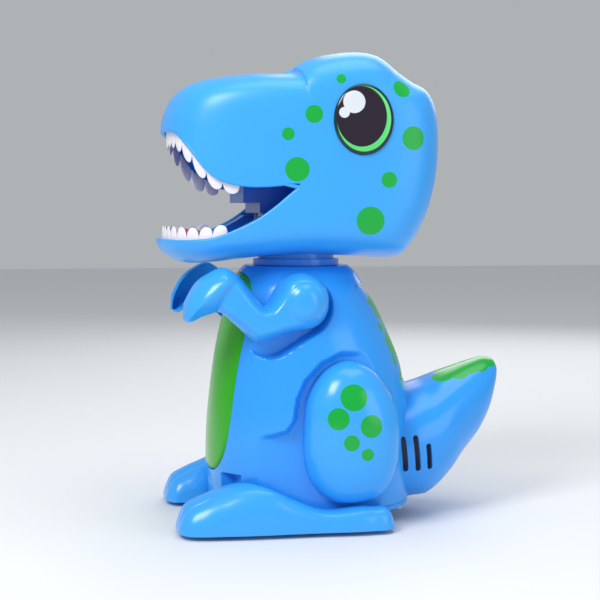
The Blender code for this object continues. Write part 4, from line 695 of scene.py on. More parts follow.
@dataclass
class Head:
    """The head's two shells with their lip beads, eyes and screw holes."""

    form: HeadForm
    mouth: Mouth
    rows: int = 64
    per_span: int = 10
    neck_y: float = -17.5
    neck_hole: float = 19.3
    eye: tuple[float, float, float, float] = (5.8, 195.5, 14.2, 16.6)
    eye_thickness: float = 1.4
    screws: tuple = ((38, 202), (34, 146), (-72, 204))
    spots: tuple = (
        (-4.8, 214.3, 2.3), (24.6, 210.3, 4.4), (-17.5, 197.9, 4.2), (-29.5, 188.7, 3.0), (29.9, 187.1, 5.6),
        (-25.3, 172.3, 5.7), (18.1, 167.5, 3.8), (9.2, 148.3, 6.7),
    )

    def finish(self) -> bpy.types.Material:
        """Blue plastic with the side's green spots."""
        flat = mm(*[s[:2] for s in self.spots])
        out = self.form.side_x(flat, 0)
        spots = tuple(
            Spot((float(x), float(y), float(z)), s[2] * MM) for x, (y, z), s in zip(out, flat, self.spots)
        )
        return MouldedPlastic("abs_sky_blue_satin_spotted", "#38A6F8", 0.34, spots=spots).build()

    def shell(self) -> bpy.types.Object:
        """The left half, with its mouth, neck opening and lip beads."""
        outer = self.form.half(self.rows, self.per_span, 0)
        inner = self.form.half(self.rows, self.per_span, WALL)
        half = loft("head", np.concatenate([outer[::-1], inner]))
        bead = self.mouth.bead * MM
        carve(half, prism("mouth", self.mouth.outline(bead), "X", -FAR, FAR))
        hole = oval((0, self.neck_y * MM), self.neck_hole * MM, self.neck_hole * MM)
        carve(half, prism("neck", hole, "Z", 0.11, 0.142))
        paths = [
            self.mouth.on_shell(self.form, lip, WALL / 2, sign * bead, 160)
            for lip, sign in ((self.mouth.lower, 1), (self.mouth.upper, 1))
        ]
        corner = np.stack([paths[0][0], paths[1][0]])
        whole = np.concatenate([paths[0][::-1], corner.mean(axis=0)[None], paths[1]])
        whole[:, 0] = np.maximum(whole[:, 0], SEAM)
        return join("head", [half, tube("bead", whole, bead)])

    def eye_disc(self) -> bpy.types.Object:
        """The left eye: a lacquered dome that follows the head's side."""
        y, z, w, h = mm(*self.eye)
        rim = 3.0 * MM
        rings = []
        for share in np.append(np.linspace(0.03, 0.8, 14), np.linspace(0.82, 1, 16)):
            flat = oval((y, z), w * share, h * share, 2, 128)
            lift = self.eye_thickness * MM * quarter_round(np.array((1 - share) * w / rim))
            rings.append(np.column_stack([self.form.side_x(flat, -GAP - float(lift)), flat]))
        back = [oval((y, z), w * s, h * s, 2, 128) for s in (1, 0.6, 0.03)]
        rings += [np.column_stack([self.form.side_x(flat, -GAP), flat]) for flat in back]
        return loft("eye", np.stack(rings))

    def build(self) -> None:
        """Makes and dresses both halves and both eyes."""
        finish = self.finish()
        # Clear lacquer over flat print: a sharp highlight on a dark, even eye.
        centre, half = tuple(mm(*self.eye[:2])), tuple(mm(*self.eye[2:]))
        lacquer = PrintedEye("eye_pad_printed_lacquer", centre, half).build()
        left = self.shell()
        right = flipped(left, "right")
        for y, z in mm(*self.screws):
            hole = oval((y, z), SCREW_HOLE, SCREW_HOLE, 2, 40)
            carve(right, prism("hole", hole, "X", -0.07, -0.02))
        dress(left, "head_shell_left", finish, "toy", ["head_left"])
        dress(right, "head_shell_right", finish, "toy", ["head_right"])
        eye = self.eye_disc()
        dress(flipped(eye, "eye"), "eye_dome_right", lacquer, "toy", ["eye_right"])
        dress(eye, "eye_dome_left", lacquer, "toy", ["eye_left"])


@dataclass
class Teeth:
    """The two rows of round-ended teeth inside the lips."""

    form: HeadForm
    mouth: Mouth
    count: int = 15
    thickness: float = 1.4
    inset: float = 3.0
    root: float = 3.0
    upper_height: float = 6.6
    lower_height: float = 6.4
    upper_end: tuple[float, float] = (-51.5, 164.4)
    lower_end: tuple[float, float] = (-57, 142.9)
    taper: float = 0.38
    taper_length: float = 30
    across: int = 14
    down: int = 9

    def row(self, name: str, lip: tuple, root: float, height: float) -> bpy.types.Object:
        """One row as a puffed ribbon. Root and height are signed distances along Z, in metres."""
        path = self.mouth.on_shell(self.form, lip, self.inset * MM, 0, 600)
        path[-1, 0] = 0
        whole = np.concatenate([path[:-1], (path * (-1, 1, 1))[::-1]])
        length = np.append(0, np.cumsum(np.linalg.norm(np.diff(whole[:, :2], axis=0), axis=1)))
        samples = self.count * self.across
        even = np.linspace(0, length[-1], samples + 1)
        spine = np.column_stack([np.interp(even, length, whole[:, k]) for k in range(3)])
        ahead = np.gradient(spine[:, :2], axis=0)
        ahead /= np.linalg.norm(ahead, axis=1)[:, None]
        inward = np.column_stack([ahead[:, 1], -ahead[:, 0], np.zeros(len(ahead))])
        inward *= np.sign(np.sum(inward * ((0, -0.03, 0) - spine * (1, 1, 0)), axis=1))[:, None]
        phase = (np.arange(samples + 1) % self.across) / self.across
        round_end = np.sqrt(np.maximum(0, 1 - (2 * phase - 1) ** 2))
        from_end = np.minimum(even, length[-1] - even)
        full = 1 - self.taper * (1 - blend(from_end / (self.taper_length * MM)))
        reach = height * full * (0.12 + 0.88 * round_end)
        thick = self.thickness * MM * (0.45 + 0.55 * round_end**0.6)
        rings = []
        for point, way, tip, deep in zip(spine, inward, reach, thick):
            share = np.sin(np.linspace(0, math.pi / 2, self.down))
            fade = deep * np.sqrt(1 - share**2)
            z = root + (tip - root) * share
            middle = point + way * self.thickness * MM / 2
            front = middle - way * fade[:, None] / 2 + np.outer(z, (0, 0, 1))
            rear = middle + way * fade[:, None] / 2 + np.outer(z, (0, 0, 1))
            rings.append(np.concatenate([front, rear[::-1][1:]]))
        return loft(name, np.stack(rings))

    def build(self) -> None:
        """Makes and dresses both rows."""
        # Soft white PVC: light sinks in, so the teeth glow slightly at their tips.
        white = MouldedPlastic("pvc_tooth_white_moulded", "#F4EEF2", 0.3, depth=0.35).build()
        root = self.root * MM
        lip = (self.upper_end, *self.mouth.upper[3:])
        upper = self.row("upper", lip, root, -self.upper_height * MM)
        lip = (*self.mouth.lower[:2], self.lower_end)
        lower = self.row("lower", lip, -root, self.lower_height * MM)
        dress(upper, "teeth_row_upper", white, "toy", ["upper_teeth"], 50)
        dress(lower, "teeth_row_lower", white, "toy", ["lower_teeth"], 50)


# ---------------------------------------------------------------- body
@dataclass(frozen=True)
class BodyForm:
    """The torso's egg and the tail's horn, in millimetres.

    Torso sections are (height, front, back, half width). Tail ribs are (upper y, upper z, lower y, lower z,
    half width).
    """

    sections: tuple = (
        (7.4, -61.2, 38.6, 46.6), (20, -62, 39.4, 48.6), (34, -62.2, 39.5, 49.4), (48, -61.6, 39.0, 49.6),
        (66, -59.8, 36.8, 48.6), (84, -57.2, 31.7, 46.0), (98, -54.2, 25.7, 42.6), (110, -51.0, 19.7, 38.2),
        (119, -48.0, 14.2, 33.6), (124.4, -45.0, 10.2, 29.6), (126, -43.2, 8.2, 27.4),
    )
    power: float = 2.3
    ribs: tuple = (
        (22, 60, 22, 7.4, 33), (36, 64, 38, 7.4, 33), (46, 66.8, 48, 8.8, 31), (55, 70.2, 58.5, 17.5, 27.5),
        (64.5, 73.4, 67.5, 29, 22.5), (73, 76.2, 76, 39, 17.5), (80, 77.9, 82.2, 50, 12.5),
        (84.6, 77.2, 85.6, 61.5, 8.2), (87.1, 73.8, 87.2, 69, 4.2),
    )
    tail_power: float = 2.2
    bottom: float = 10.0
    top: float = 126.0
    recess_x: float = 41.5
    recess: tuple = (
        (-90, 45.4), (-49.9, 45.4), (-36, 46.4), (-29.5, 48.4), (-26, 53.5), (-24.4, 64), (-20.4, 72.8),
        (-12.8, 80.8), (-3.4, 85.2), (12, 85), (60, 80), (60, -10), (-90, -10),
    )
    recess_edge: float = 3.8
    seat_x: float = 33.8
    seat: tuple = ((-22, 109, 15.6), (-36.9, 95.1, 11.8))
    seat_edge: float = 1.6
    notch: tuple[float, float, float] = (22.4, -50.5, 26)

    def section(self, z: Array) -> Array:
        """(front, back, half width) at each height, in metres."""
        rows = mm(*self.sections)
        return through(rows[:, 0], rows[:, 1:], z)

    def torso(self, offset: float, low: float, high: float, rows: int, columns: int) -> Array:
        """The torso's rings between two heights, inset by offset, with its recesses pressed in."""
        z = np.linspace(low, high, rows)
        front, back, half = self.section(z).T
        c, s = superellipse(np.linspace(0, math.tau, columns, endpoint=False), self.power)
        middle, length = (front + back) / 2, (back - front) / 2 - offset
        rings = np.stack([
            (half - offset)[:, None] * s,
            middle[:, None] + length[:, None] * c,
            np.repeat(z[:, None], columns, 1),
        ], axis=2)
        return self.pressed(rings.reshape(-1, 3), offset).reshape(rings.shape)

    def seat_outline(self, offset: float) -> Array:
        """The shoulder's round seat and the pocket that the upper arm swings down into."""
        (y0, z0, r0), (y1, z1, r1) = mm(*self.seat)
        big, small = r0 + offset, r1 + offset
        reach = math.hypot(y1 - y0, z1 - z0)
        facing, lean = math.atan2(z1 - z0, y1 - y0), math.acos((big - small) / reach)
        first = facing + lean + np.linspace(0, math.tau - 2 * lean, 40)
        second = facing - lean + np.linspace(0, 2 * lean, 20)
        return np.concatenate([
            np.column_stack([y0 + big * np.cos(first), z0 + big * np.sin(first)]),
            np.column_stack([y1 + small * np.cos(second), z1 + small * np.sin(second)]),
        ])

    def pressed(self, points: Array, offset: float) -> Array:
        """Points with their X held in at the leg recess, the shoulder's seat and the foot's notch."""
        flat, x = points[:, 1:], np.abs(points[:, 0])
        notch_x, notch_y, notch_z = mm(*self.notch)
        corner = np.array([
            (-0.2, -0.1), (notch_y + offset, -0.1),
            (notch_y + offset, notch_z + offset), (-0.2, notch_z + offset),
        ])
        for outline, limit, edge in (
            (inset(mm(*self.recess), -offset), self.recess_x, self.recess_edge),
            (self.seat_outline(offset), self.seat_x, self.seat_edge),
            (corner, notch_x / MM, 1.0),
        ):
            limit = limit * MM - offset
            held = blend(signed_distance(flat, outline) / (edge * MM) + 0.5)
            x = np.where(x > limit, limit + (x - limit) * held, x)
        return np.column_stack([np.sign(points[:, 0]) * x, flat])

    def tail(self, offset: float, rows: int, columns: int) -> Array:
        """The tail's rings, inset by offset, rounded off at the tip."""
        ribs = mm(*self.ribs)
        at = np.linspace(0, 1, rows) ** 0.8 * (len(ribs) - 1)
        read = through(np.arange(len(ribs)), ribs, at)
        upper, lower, width = read[:, 0:2], read[:, 2:4], read[:, 4]
        cap = quarter_round((len(ribs) - 1 - at) / 0.4 + 0.02)
        middle, half = (upper + lower) / 2, (upper - lower) / 2
        long = np.linalg.norm(half, axis=1)
        half = half / long[:, None] * np.maximum((long - offset) * cap, 0.3 * MM)[:, None]
        width = np.maximum((width - offset) * cap, 0.3 * MM)
        c, s = superellipse(np.linspace(0, math.tau, columns, endpoint=False), self.tail_power)
        flat = middle[:, None] + half[:, None] * c[None, :, None]
        flat[..., 1] = np.maximum(flat[..., 1], self.bottom * MM - (2 * MM if offset else 0))
        return np.concatenate([(width[:, None] * s)[..., None], flat - (offset, 0)], axis=2)

    def face_y(self, x: Array, z: Array, offset: float, front: bool) -> Array:
        """Where the torso's front or back is, at points seen along Y."""
        near, far, half = self.section(z).T
        share = np.clip(np.abs(x) / (half - offset), 0, 1)
        length = ((far - near) / 2 - offset) * (1 - share**self.power) ** (1 / self.power)
        return (near + far) / 2 + (-length if front else length)


@dataclass
class Body:
    """Torso shells with tail, belly panel and battery door."""

    form: BodyForm
    rows: int = 230
    columns: int = 400
    belly: tuple[float, float, float, float] = (29, 25.3, 122.5, 3.6)
    belly_proud: float = 0.7
    door: tuple[float, float, float, float] = (28, 69, 117, 5)
    door_reach: tuple[float, float] = (2, 45)
    door_screw: float = 6
    slots: tuple = ((30.1, 25, 42.7), (36.5, 25, 43.1), (43.3, 25.5, 38.7))
    slot_width: float = 2.8
    slot_lean: float = 6
    neck: tuple[float, float] = (-17.5, 19.3)
    spine: tuple = (
        (113, 13, 5.6), (105, 18, 5.6), (97, 15, 5.8), (88, 20, 6.4), (79, 16, 6.0), (70, 21, 5.8),
        (109, 22, 2.8), (96, 25, 3.0), (80, 26, 3.0), (108, 5, 5.0), (99, 4, 5.2), (90, 5, 5.4), (80, 4, 5.2),
    )
    tail_scales: tuple = (
        (57, 9, 6.2), (64, 11, 5.6), (69.5, 8, 6.6), (75.5, 9, 5.6), (80.5, 5, 5.8), (61, 0, 6.4),
        (67, 3, 6.4), (74, 1, 6.5), (84.5, 1, 4.4),
    )

    def finish(self) -> bpy.types.Material:
        """Blue plastic with green scales down the spine and over the tail's top."""
        spots = []
        for z, x, radius in self.spine:
            back = float(self.form.face_y(mm(x), mm(z), 0, False)[0])
            spots += [Spot((side * x * MM, back, z * MM), radius * MM) for side in (-1, 1)]
        for y, x, radius in self.tail_scales:
            top = float(np.interp(y, [r[0] for r in self.form.ribs], [r[1] for r in self.form.ribs]))
            spots += [Spot((side * x * MM, y * MM, (top - 0.12 * x) * MM), radius * MM) for side in (-1, 1)]
        return MouldedPlastic("abs_sky_blue_gloss_scaled", "#2E9DF5", 0.2, spots=tuple(spots)).build()

    def slot_cutter(self, y: float, low: float, high: float) -> bpy.types.Object:
        """A leaning round-ended cutter for one sound slot."""
        half, length = self.slot_width / 2, high - low
        ends = np.linspace(0, math.pi, 13)
        outline = [(half * math.cos(a), -half + half * math.sin(a)) for a in ends]
        outline += [(-half * math.cos(a), half - length - half * math.sin(a)) for a in ends]
        cutter = prism("slot", mm(*outline), "X", -0.06, -0.01)
        turn = Matrix.Rotation(math.radians(self.slot_lean), 4, "X")
        cutter.data.transform(Matrix.Translation(mm(0, y, high)) @ turn)
        return cutter

    def door_outline(self, clearance: float, steps: int = 8) -> Array:
        """The door seen along Y, as (x, z)."""
        half, low, high, corner = mm(*self.door)
        half, low, high, corner = half + clearance, low - clearance, high + clearance, corner + clearance
        made = []
        for turn, (x, z) in enumerate(((half, high), (-half, high), (-half, low), (half, low))):
            cx, cz = x - math.copysign(corner, x), z - math.copysign(corner, z - (low + high) / 2)
            angles = (turn + np.linspace(0, 1, steps)) * math.pi / 2
            made += [(cx + corner * math.cos(a), cz + corner * math.sin(a)) for a in angles]
        return np.array(made)

    def belly_outline(self, clearance: float) -> Array:
        """The belly panel seen along Y, as (x, z)."""
        half, low, high = mm(*self.belly[:3])
        return oval((0, (low + high) / 2), half + clearance, (high - low) / 2 + clearance, self.belly[3], 160)

    def panel(self, name: str, outline: Array, front: bool, proud: float,
              rings: int = 44) -> bpy.types.Object:
        """A panel of the torso's own curve inside an outline, with its outer edge rounded over.

        Args:
            name: the object's name.
            outline: the panel's edge seen along Y.
            front: whether it is on the front or on the back.
            proud: how far its middle stands out of the torso, in metres.
            rings: how many rings there are from edge to middle.

        Returns:
            The new object, of the wall's thickness.
        """
        centre = outline.mean(axis=0)
        reach = np.min(np.linalg.norm(outline - centre, axis=1))
        shares = 1 - np.append(0, np.geomspace(0.003, 0.96, rings))
        lift = quarter_round((1 - shares) * reach / (1.2 * MM)) * (proud + 0.6 * MM) - 0.6 * MM
        outer = [(centre + (outline - centre) * s, -float(u)) for s, u in zip(shares, lift)]
        inner = [(centre + (outline - centre) * s, WALL) for s in shares[::3]]
        rows = []
        for flat, offset in outer[::-1] + inner:
            y = self.form.face_y(flat[:, 0], flat[:, 1], offset, front)
            rows.append(np.column_stack([flat[:, 0], y, flat[:, 1]]))
        return loft(name, np.stack(rows))

    def shell(self) -> bpy.types.Object:
        """The right half of torso and tail, hollow, with all its openings."""
        form = self.form
        body = loft("body", form.torso(0, form.bottom * MM, form.top * MM, self.rows, self.columns))
        carve(body, loft("tail", form.tail(0, 90, 96)), Blend.ADD_ON)
        low, high = (form.bottom - 3) * MM, form.top * MM - WALL
        inner = loft("inner", form.torso(WALL, low, high, 60, 96))
        carve(inner, loft("tail", form.tail(WALL, 30, 48)), Blend.ADD_ON)
        carve(body, inner)
        neck_y, neck_hole = mm(*self.neck)
        carve(body, prism("neck", oval((0, neck_y), neck_hole, neck_hole), "Z", 0.11, 0.14))
        carve(body, prism("door", self.door_outline(GAP), "Y", *mm(*self.door_reach)))
        carve(body, prism("belly", self.belly_outline(GAP), "Y", -FAR, -25 * MM))
        for slot in self.slots:
            carve(body, self.slot_cutter(*slot))
        y, z = mm(*form.seat[0][:2])
        carve(body, prism("peg", oval((y, z), *mm(4.4, 4.4), 2, 40), "X", -0.06, -0.02))
        return carve(body, block("half", (-SEAM, -FAR, -FAR), (FAR, FAR, FAR)))

    def build(self) -> None:
        """Makes and dresses the shells, the belly panel and the door."""
        finish = self.finish()
        right = self.shell()
        dress(flipped(right, "left"), "torso_shell_left", finish, "toy", ["torso_left"])
        dress(right, "torso_shell_right", finish, "toy", ["torso_right"])
        # Glossy ABS: one long highlight that shows the panel's curve.
        green = MouldedPlastic("abs_leaf_green_gloss", "#27A800", 0.22).build()
        belly = self.panel("belly", self.belly_outline(0), True, self.belly_proud * MM)
        dress(belly, "belly_cover", green, "toy", ["belly_panel"])
        door = self.panel("door", self.door_outline(0), False, 0)
        z = (self.door[2] - self.door_screw) * MM
        carve(door, prism("hole", oval((0, z), SCREW_HOLE, SCREW_HOLE, 2, 40), "Y", 0, 0.06))
        dress(door, "battery_door_cover", finish, "door", ["battery_door"])


# ---------------------------------------------------------------- limbs
@dataclass
class Arm:
    """A hollow bent arm, open towards the torso: a round shoulder, a V-shaped limb and a paw.

    Outlines are (y, z) in millimetres.
    """

    ribs: tuple = (
        (-8.8, 112, -8.8, 106), (-10.6, 117.4, -10.4, 101.6), (-15.4, 121.8, -14.6, 98.6),
        (-22.5, 123.6, -21, 97.2), (-30, 120.8, -28, 95.2), (-35.4, 113.6, -35.4, 93.2),
        (-39.3, 108.6, -43.6, 91.4), (-45.2, 115, -52, 98.2), (-51, 121.8, -60, 105.2),
        (-57.5, 126.0, -63, 105.4), (-66, 123.3, -68.7, 103), (-73.2, 117, -74.4, 100.2),
        (-77.2, 109.6, -77.6, 101.8),
    )
    disc: tuple[float, float, float, float] = (-21, 109.6, 13.6, 14.4)
    limb: tuple = (
        (-34.8, 112.4), (-29.5, 121.0), (-21, 124.2), (-12.4, 121.0), (-8.2, 113.4), (-9.0, 104.3),
        (-15.3, 97.6),
        (-29.1, 94.4), (-37.5, 91.9), (-43.6, 91.0), (-48.6, 94.2), (-53, 97.8), (-62.5, 105.4), (-64, 112),
        (-60, 121.6), (-54, 122.6), (-50.0, 120.8), (-45.4, 115.0), (-41.6, 110.1), (-38.6, 108.3),
    )
    paw: tuple = (
        (-49.6, 119), (-52.5, 124.4), (-58.5, 127.4), (-66.4, 124.2), (-73.3, 117.4), (-77.7, 108.4),
        (-78.2, 101.4),
        (-74.6, 99.9), (-68.7, 102.6), (-61, 105.2), (-53.5, 111.5),
    )
    inner_x: float = 34.4
    rise: tuple[float, float, float] = (17.3, 14.6, 16.7)
    bend: tuple[float, float, float] = (11.5, 5.6, 10.6)
    wall: float = 1.8
    long: int = 190
    wide: int = 90
    shoulder: tuple[float, float] = (-22, 109)

    def height(self, flat: Array, depth: float) -> Array:
        """How far each point stands out from the arm's open face, for a skin set in by depth metres."""
        best = np.zeros(len(flat))
        disc = oval(mm(*self.disc[:2]), *mm(*self.disc[2:]), 2, 90)
        shapes = disc, smooth_closed(mm(*self.limb), 8), smooth_closed(mm(*self.paw), 8)
        for outline, rise, bend in zip(shapes, self.rise, self.bend):
            inside = -signed_distance(flat, outline) - depth
            swell = (rise * MM - depth) * quarter_round(inside / (bend * MM))
            gap = np.abs(best - swell)
            soft = np.maximum(0.5 * MM - gap, 0) ** 2 / (2 * MM) * (np.minimum(best, swell) > 0)
            best = np.maximum(best, swell) + soft
        return best

    def build_left(self) -> bpy.types.Object:
        """The left arm."""
        ribs = mm(*self.ribs)
        steps = np.linalg.norm(np.diff((ribs[:, :2] + ribs[:, 2:]) / 2, axis=0), axis=1)
        length = np.append(0, np.cumsum(steps))
        even = (1 - np.cos(np.linspace(0, math.pi, self.long))) / 2
        read = through(length, ribs, length[-1] * (0.4 * even + 0.6 * np.linspace(0, 1, self.long)))
        across = (1 - np.cos(np.linspace(0, math.pi, self.wide))) / 2
        flat = read[:, None, :2] * (1 - across[None, :, None]) + read[:, None, 2:] * across[None, :, None]
        rim = np.zeros(flat.shape[:2], bool)
        rim[[0, -1]] = rim[:, [0, -1]] = True
        sheets = []
        for depth in (0.0, self.wall * MM):
            x = self.height(flat.reshape(-1, 2), depth).reshape(flat.shape[:2])
            x[rim] = 0
            sheets.append(np.concatenate([(self.inner_x * MM + x)[..., None], flat], axis=2).reshape(-1, 3))
        points = np.concatenate(sheets)
        faces = sheet_faces(self.long, self.wide, wrap=False)
        faces += [f[::-1] for f in sheet_faces(self.long, self.wide, wrap=False, start=self.long * self.wide)]
        arm = raw_object("arm", points, faces, outward=False)
        bm = bmesh.new()
        bm.from_mesh(arm.data)
        bmesh.ops.remove_doubles(bm, verts=bm.verts, dist=1e-6)
        bmesh.ops.recalc_face_normals(bm, faces=bm.faces)
        bm.to_mesh(arm.data)
        bm.free()
        peg = [(0, -4.3), (5.6, -4.3), (5.6, -2.7), (4, -2.7), (4, 0), (5, 0), (5, 14), (0, 14)]
        at = (self.inner_x * MM, *mm(*self.shoulder))
        return join("arm", [arm, lathe("peg", mm(*peg), "X", at, 48)])

    def build(self) -> None:
        """Makes and dresses both arms."""
        # Polished ABS: tight highlights on the shoulder and paw.
        blue = MouldedPlastic("abs_sky_blue_gloss", "#38A6F8", 0.2).build()
        left = self.build_left()
        dress(flipped(left, "right"), "arm_shell_right", blue, "right_arm", ["arm_right"], 60)
        dress(left, "arm_shell_left", blue, "left_arm", ["arm_left"], 60)


@dataclass
class Leg:
    """A domed thigh and a broad three-toed foot, in millimetres.

    Foot sections are (y, middle x, half width, top).
    """

    thigh: tuple = (
        (-20.8, 46.2), (-19.6, 62), (-14, 73.6), (-6.2, 80), (2.4, 81.6), (11.4, 77.8), (18.8, 69),
        (23.8, 57.6),
        (25.6, 45), (24.2, 30.4), (17.6, 18), (5.6, 13.2), (-7.4, 14.4), (-16.8, 22.6), (-20.4, 34.2),
    )
    centre: tuple[float, float] = (2.6, 46.2)
    base_x: float = 41.8
    outer_x: float = 59.4
    power: float = 2.7
    foot: tuple = (
        (22, 49, 3.5, 8), (19, 49.5, 6, 11), (10, 50, 7.4, 12.6), (-16, 50, 7.4, 12.6), (-27, 50, 7.4, 17),
        (-40, 50, 7.6, 23), (-50, 43.5, 14, 24.5), (-60, 40, 16.8, 22), (-70, 39, 17, 18),
        (-77, 38.5, 15.4, 14),
        (-81.3, 38.5, 12, 9.5),
    )
    sole: float = 2.2
    notch: tuple[float, float] = (22.7, -50.8)
    toes: int = 3
    spots: tuple = ((0.2, 65.9, 6.4), (-7.3, 56, 5.2), (8.4, 52.3, 5.4), (-1.1, 44.7, 3.8), (6.5, 39, 3.0))

    def dome_x(self, y: float, z: float) -> float:
        """Where the left thigh's dome is at a point seen from the side, in metres."""
        outline, centre = smooth_closed(mm(*self.thigh), 12), mm(*self.centre)
        away = outline - centre
        turn = math.atan2(z - centre[1], y - centre[0])
        off = np.arctan2(away[:, 1], away[:, 0]) - turn
        nearest = np.argmin(np.abs(np.angle(np.exp(1j * off))))
        reach = np.linalg.norm(away[nearest])
        share = min(1.0, math.hypot(y - centre[0], z - centre[1]) / reach)
        foot = self.base_x + 1.5
        return (foot + (self.outer_x - self.base_x - 1.5) * math.sqrt(1 - share**self.power)) * MM

    def thigh_rings(self) -> Array:
        """The left thigh, from its flat inner face to the middle of its dome."""
        outline, centre = smooth_closed(mm(*self.thigh), 12), mm(*self.centre)
        height = (self.outer_x - self.base_x - 1.5) * MM
        rows = [(0.0, 0.03), (0.0, 1.0), (0.0, 1.0)]
        turn = np.linspace(0, math.pi / 2, 46)
        share = np.maximum(np.cos(turn) ** (2 / self.power), 0.02)
        lift = height * np.sqrt(1 - share**self.power)
        rows += [(1.5 * MM * min(1, i / 3) + u, s) for i, (u, s) in enumerate(zip(lift, share))]
        return np.stack([
            np.column_stack([np.full(len(outline), self.base_x * MM + u), centre + (outline - centre) * s])
            for u, s in rows
        ])

    def foot_rings(self) -> Array:
        """The left foot, from heel to toes."""
        rows = mm(*self.foot)[::-1]
        y = rows[0, 0] + (rows[-1, 0] - rows[0, 0]) * (1 - np.cos(np.linspace(0, math.pi, 110))) / 2
        middle, half, top = through(rows[:, 0], rows[:, 1:], y).T
        front_end = quarter_round((y - y[0]) / (5 * MM) + 0.02)
        cap = np.minimum(front_end, quarter_round((y[-1] - y) / (4 * MM) + 0.02))
        c, s = superellipse(np.linspace(0, math.pi, 72), 2.6)
        x = middle[:, None] + half[:, None] * (0.55 + 0.45 * cap[:, None]) * c
        fade = blend((-56 * MM - y) / (16 * MM))[:, None]
        across = (x - middle[:, None] + half[:, None]) / (2 * half[:, None])
        toe = np.abs(np.sin(across * math.pi * self.toes))
        rise = (top[:, None] - self.sole * MM) * s * cap[:, None] * (1 - 0.24 * fade * (1 - toe**0.45))
        inside, notch = mm(*self.notch)
        limit = np.where(y[:, None] < notch, inside, self.base_x * MM)
        points = np.stack([np.maximum(x, limit), np.repeat(y[:, None], 72, 1), self.sole * MM + rise], axis=2)
        return points

    def build(self) -> None:
        """Makes and dresses both legs and feet."""
        at = mm(*[s[:2] for s in self.spots])
        spots = tuple(
            Spot((self.dome_x(y, z), float(y), float(z)), s[2] * MM) for (y, z), s in zip(at, self.spots)
        )
        # The thigh is polished like the arm; the foot is a little duller where it wears.
        spotted = MouldedPlastic("abs_sky_blue_gloss_spotted", "#38A6F8", 0.2, spots=spots).build()
        blue = MouldedPlastic("abs_sky_blue_gloss_foot", "#38A6F8", 0.24).build()
        thigh = loft("thigh", self.thigh_rings())
        foot = loft("foot", self.foot_rings())
        dress(flipped(thigh, "right"), "thigh_right", spotted, "toy", ["leg_right"])
        dress(thigh, "thigh_left", spotted, "toy", ["leg_left"])
        dress(flipped(foot, "right"), "foot_shell_right", blue, "toy", ["foot_right"])
        dress(foot, "foot_shell_left", blue, "toy", ["foot_left"])


# ---------------------------------------------------------------- inner works and studio
@dataclass
class InnerWorks:
    """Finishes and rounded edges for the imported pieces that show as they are."""

    edge: float = 0.3

    def build(self) -> None:
        """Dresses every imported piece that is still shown."""
        # Outer ABS is glossy, inner mouldings are matt, so depth reads inside the openings.
        blue = MouldedPlastic("abs_sky_blue_plain", "#2E9DF5", 0.24).build()
        deep = MouldedPlastic("pp_deep_blue_satin", "#0E66D2", 0.3).build()
        grey = MouldedPlastic("abs_grey_matt", "#8E9196", 0.5).build()
        white = MouldedPlastic("pom_white_matt", "#E6E6E0", 0.42).build()
        red = MouldedPlastic("pvc_tongue_red_satin", "#BE1A5A", 0.32).build()
        board = MouldedPlastic("fr4_board_green_solder_mask", "#1C6B3A", 0.35).build()
        sleeve = MouldedPlastic("cell_sleeve_printed_film", "#3A3D44", 0.25).build()
        steel, rubber = PlatedSteel().build(), Rubber().build()
        finishes = {
            "body_blue": blue, "deep_blue": deep, "grey_plastic": grey, "white_plastic": white,
            "tongue_red": red,
            "board_green": board, "cell_sleeve": sleeve, "steel": steel, "black_rubber": rubber,
        }
        slots = {part["node"]: part["material_slot"] for part in frame["record"]["subparts"]}
        for name, obj in frame["nodes"].items():
            if slots[name] not in finishes:
                continue
            obj.data.materials.clear()
            obj.data.materials.append(finishes[slots[name]])
            bevel = obj.modifiers.new("edge", "BEVEL")
            bevel.width, bevel.segments, bevel.limit_method = self.edge * MM, 2, "ANGLE"
            bevel.angle_limit = math.radians(40)


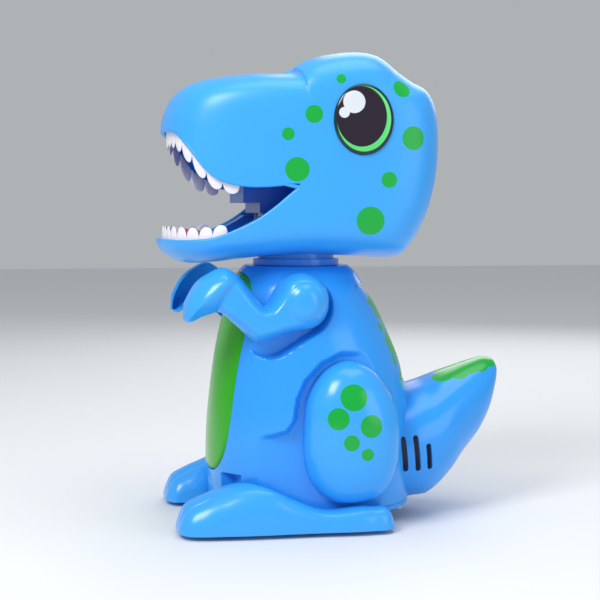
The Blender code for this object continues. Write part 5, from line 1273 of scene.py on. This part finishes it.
@dataclass
class Studio:
    """Pale floor, soft lights and the camera."""

    camera_at: tuple[float, float, float] = (0.68937, -0.13685, 0.1534)
    azimuth: float = 80
    dip: float = 3.7
    lens: float = 83.5

    def light(self, name: str, at: Sequence[float], size: float, watts: float,
              towards: Sequence[float]) -> None:
        """One square soft light."""
        data = bpy.data.lights.new(name, "AREA")
        data.size, data.energy = size, watts
        obj = bpy.data.objects.new(name, data)
        obj.location = at
        obj.rotation_euler = (Vector(towards) - Vector(at)).to_track_quat("-Z", "Y").to_euler()
        bpy.context.scene.collection.objects.link(obj)

    def build(self) -> None:
        """Puts up the whole studio."""
        scene = bpy.context.scene
        corners = np.array([(-3, -3, 0), (3, -3, 0), (3, 3, 0), (-3, 3, 0)])
        floor = raw_object("floor", corners, [(0, 1, 2, 3)])
        floor.data.materials.append(MouldedPlastic("paper_floor_pale", "#E9EAEC", 0.9).build())
        middle = (0, 0, 0.12)
        self.light("key", (0.55, -0.55, 0.72), 0.36, 5.4, middle)
        self.light("top", (0.1, 0.1, 0.95), 0.7, 3.2, middle)
        self.light("fill", (0.9, 0.7, 0.35), 0.6, 1.8, middle)
        self.light("back", (-0.8, 0.4, 0.6), 0.6, 2.4, middle)
        world = bpy.data.worlds.new("studio")
        world.use_nodes = True
        world.node_tree.nodes["Background"].inputs[0].default_value = linear("#EEF2F6")
        world.node_tree.nodes["Background"].inputs[1].default_value = 0.5
        scene.world = world
        camera = bpy.data.cameras.new("camera")
        camera.sensor_width, camera.lens = 36, self.lens
        obj = bpy.data.objects.new("camera", camera)
        a, d = math.radians(self.azimuth), math.radians(self.dip)
        look = Vector((-math.sin(a) * math.cos(d), math.cos(a) * math.cos(d), -math.sin(d)))
        obj.location = self.camera_at
        obj.rotation_euler = look.to_track_quat("-Z", "Y").to_euler()
        scene.collection.objects.link(obj)
        scene.camera = obj
        scene.view_settings.view_transform = "Standard"


def main() -> None:
    """Builds the toy round its frame and the studio round the toy."""
    logging.basicConfig(level=logging.INFO, format="%(message)s")
    head, mouth = HeadForm(), Mouth()
    Head(head, mouth).build()
    Teeth(head, mouth).build()
    Body(BodyForm()).build()
    Arm().build()
    Leg().build()
    InnerWorks().build()
    Studio().build()
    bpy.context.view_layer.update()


if __name__ == "__main__":
    main()
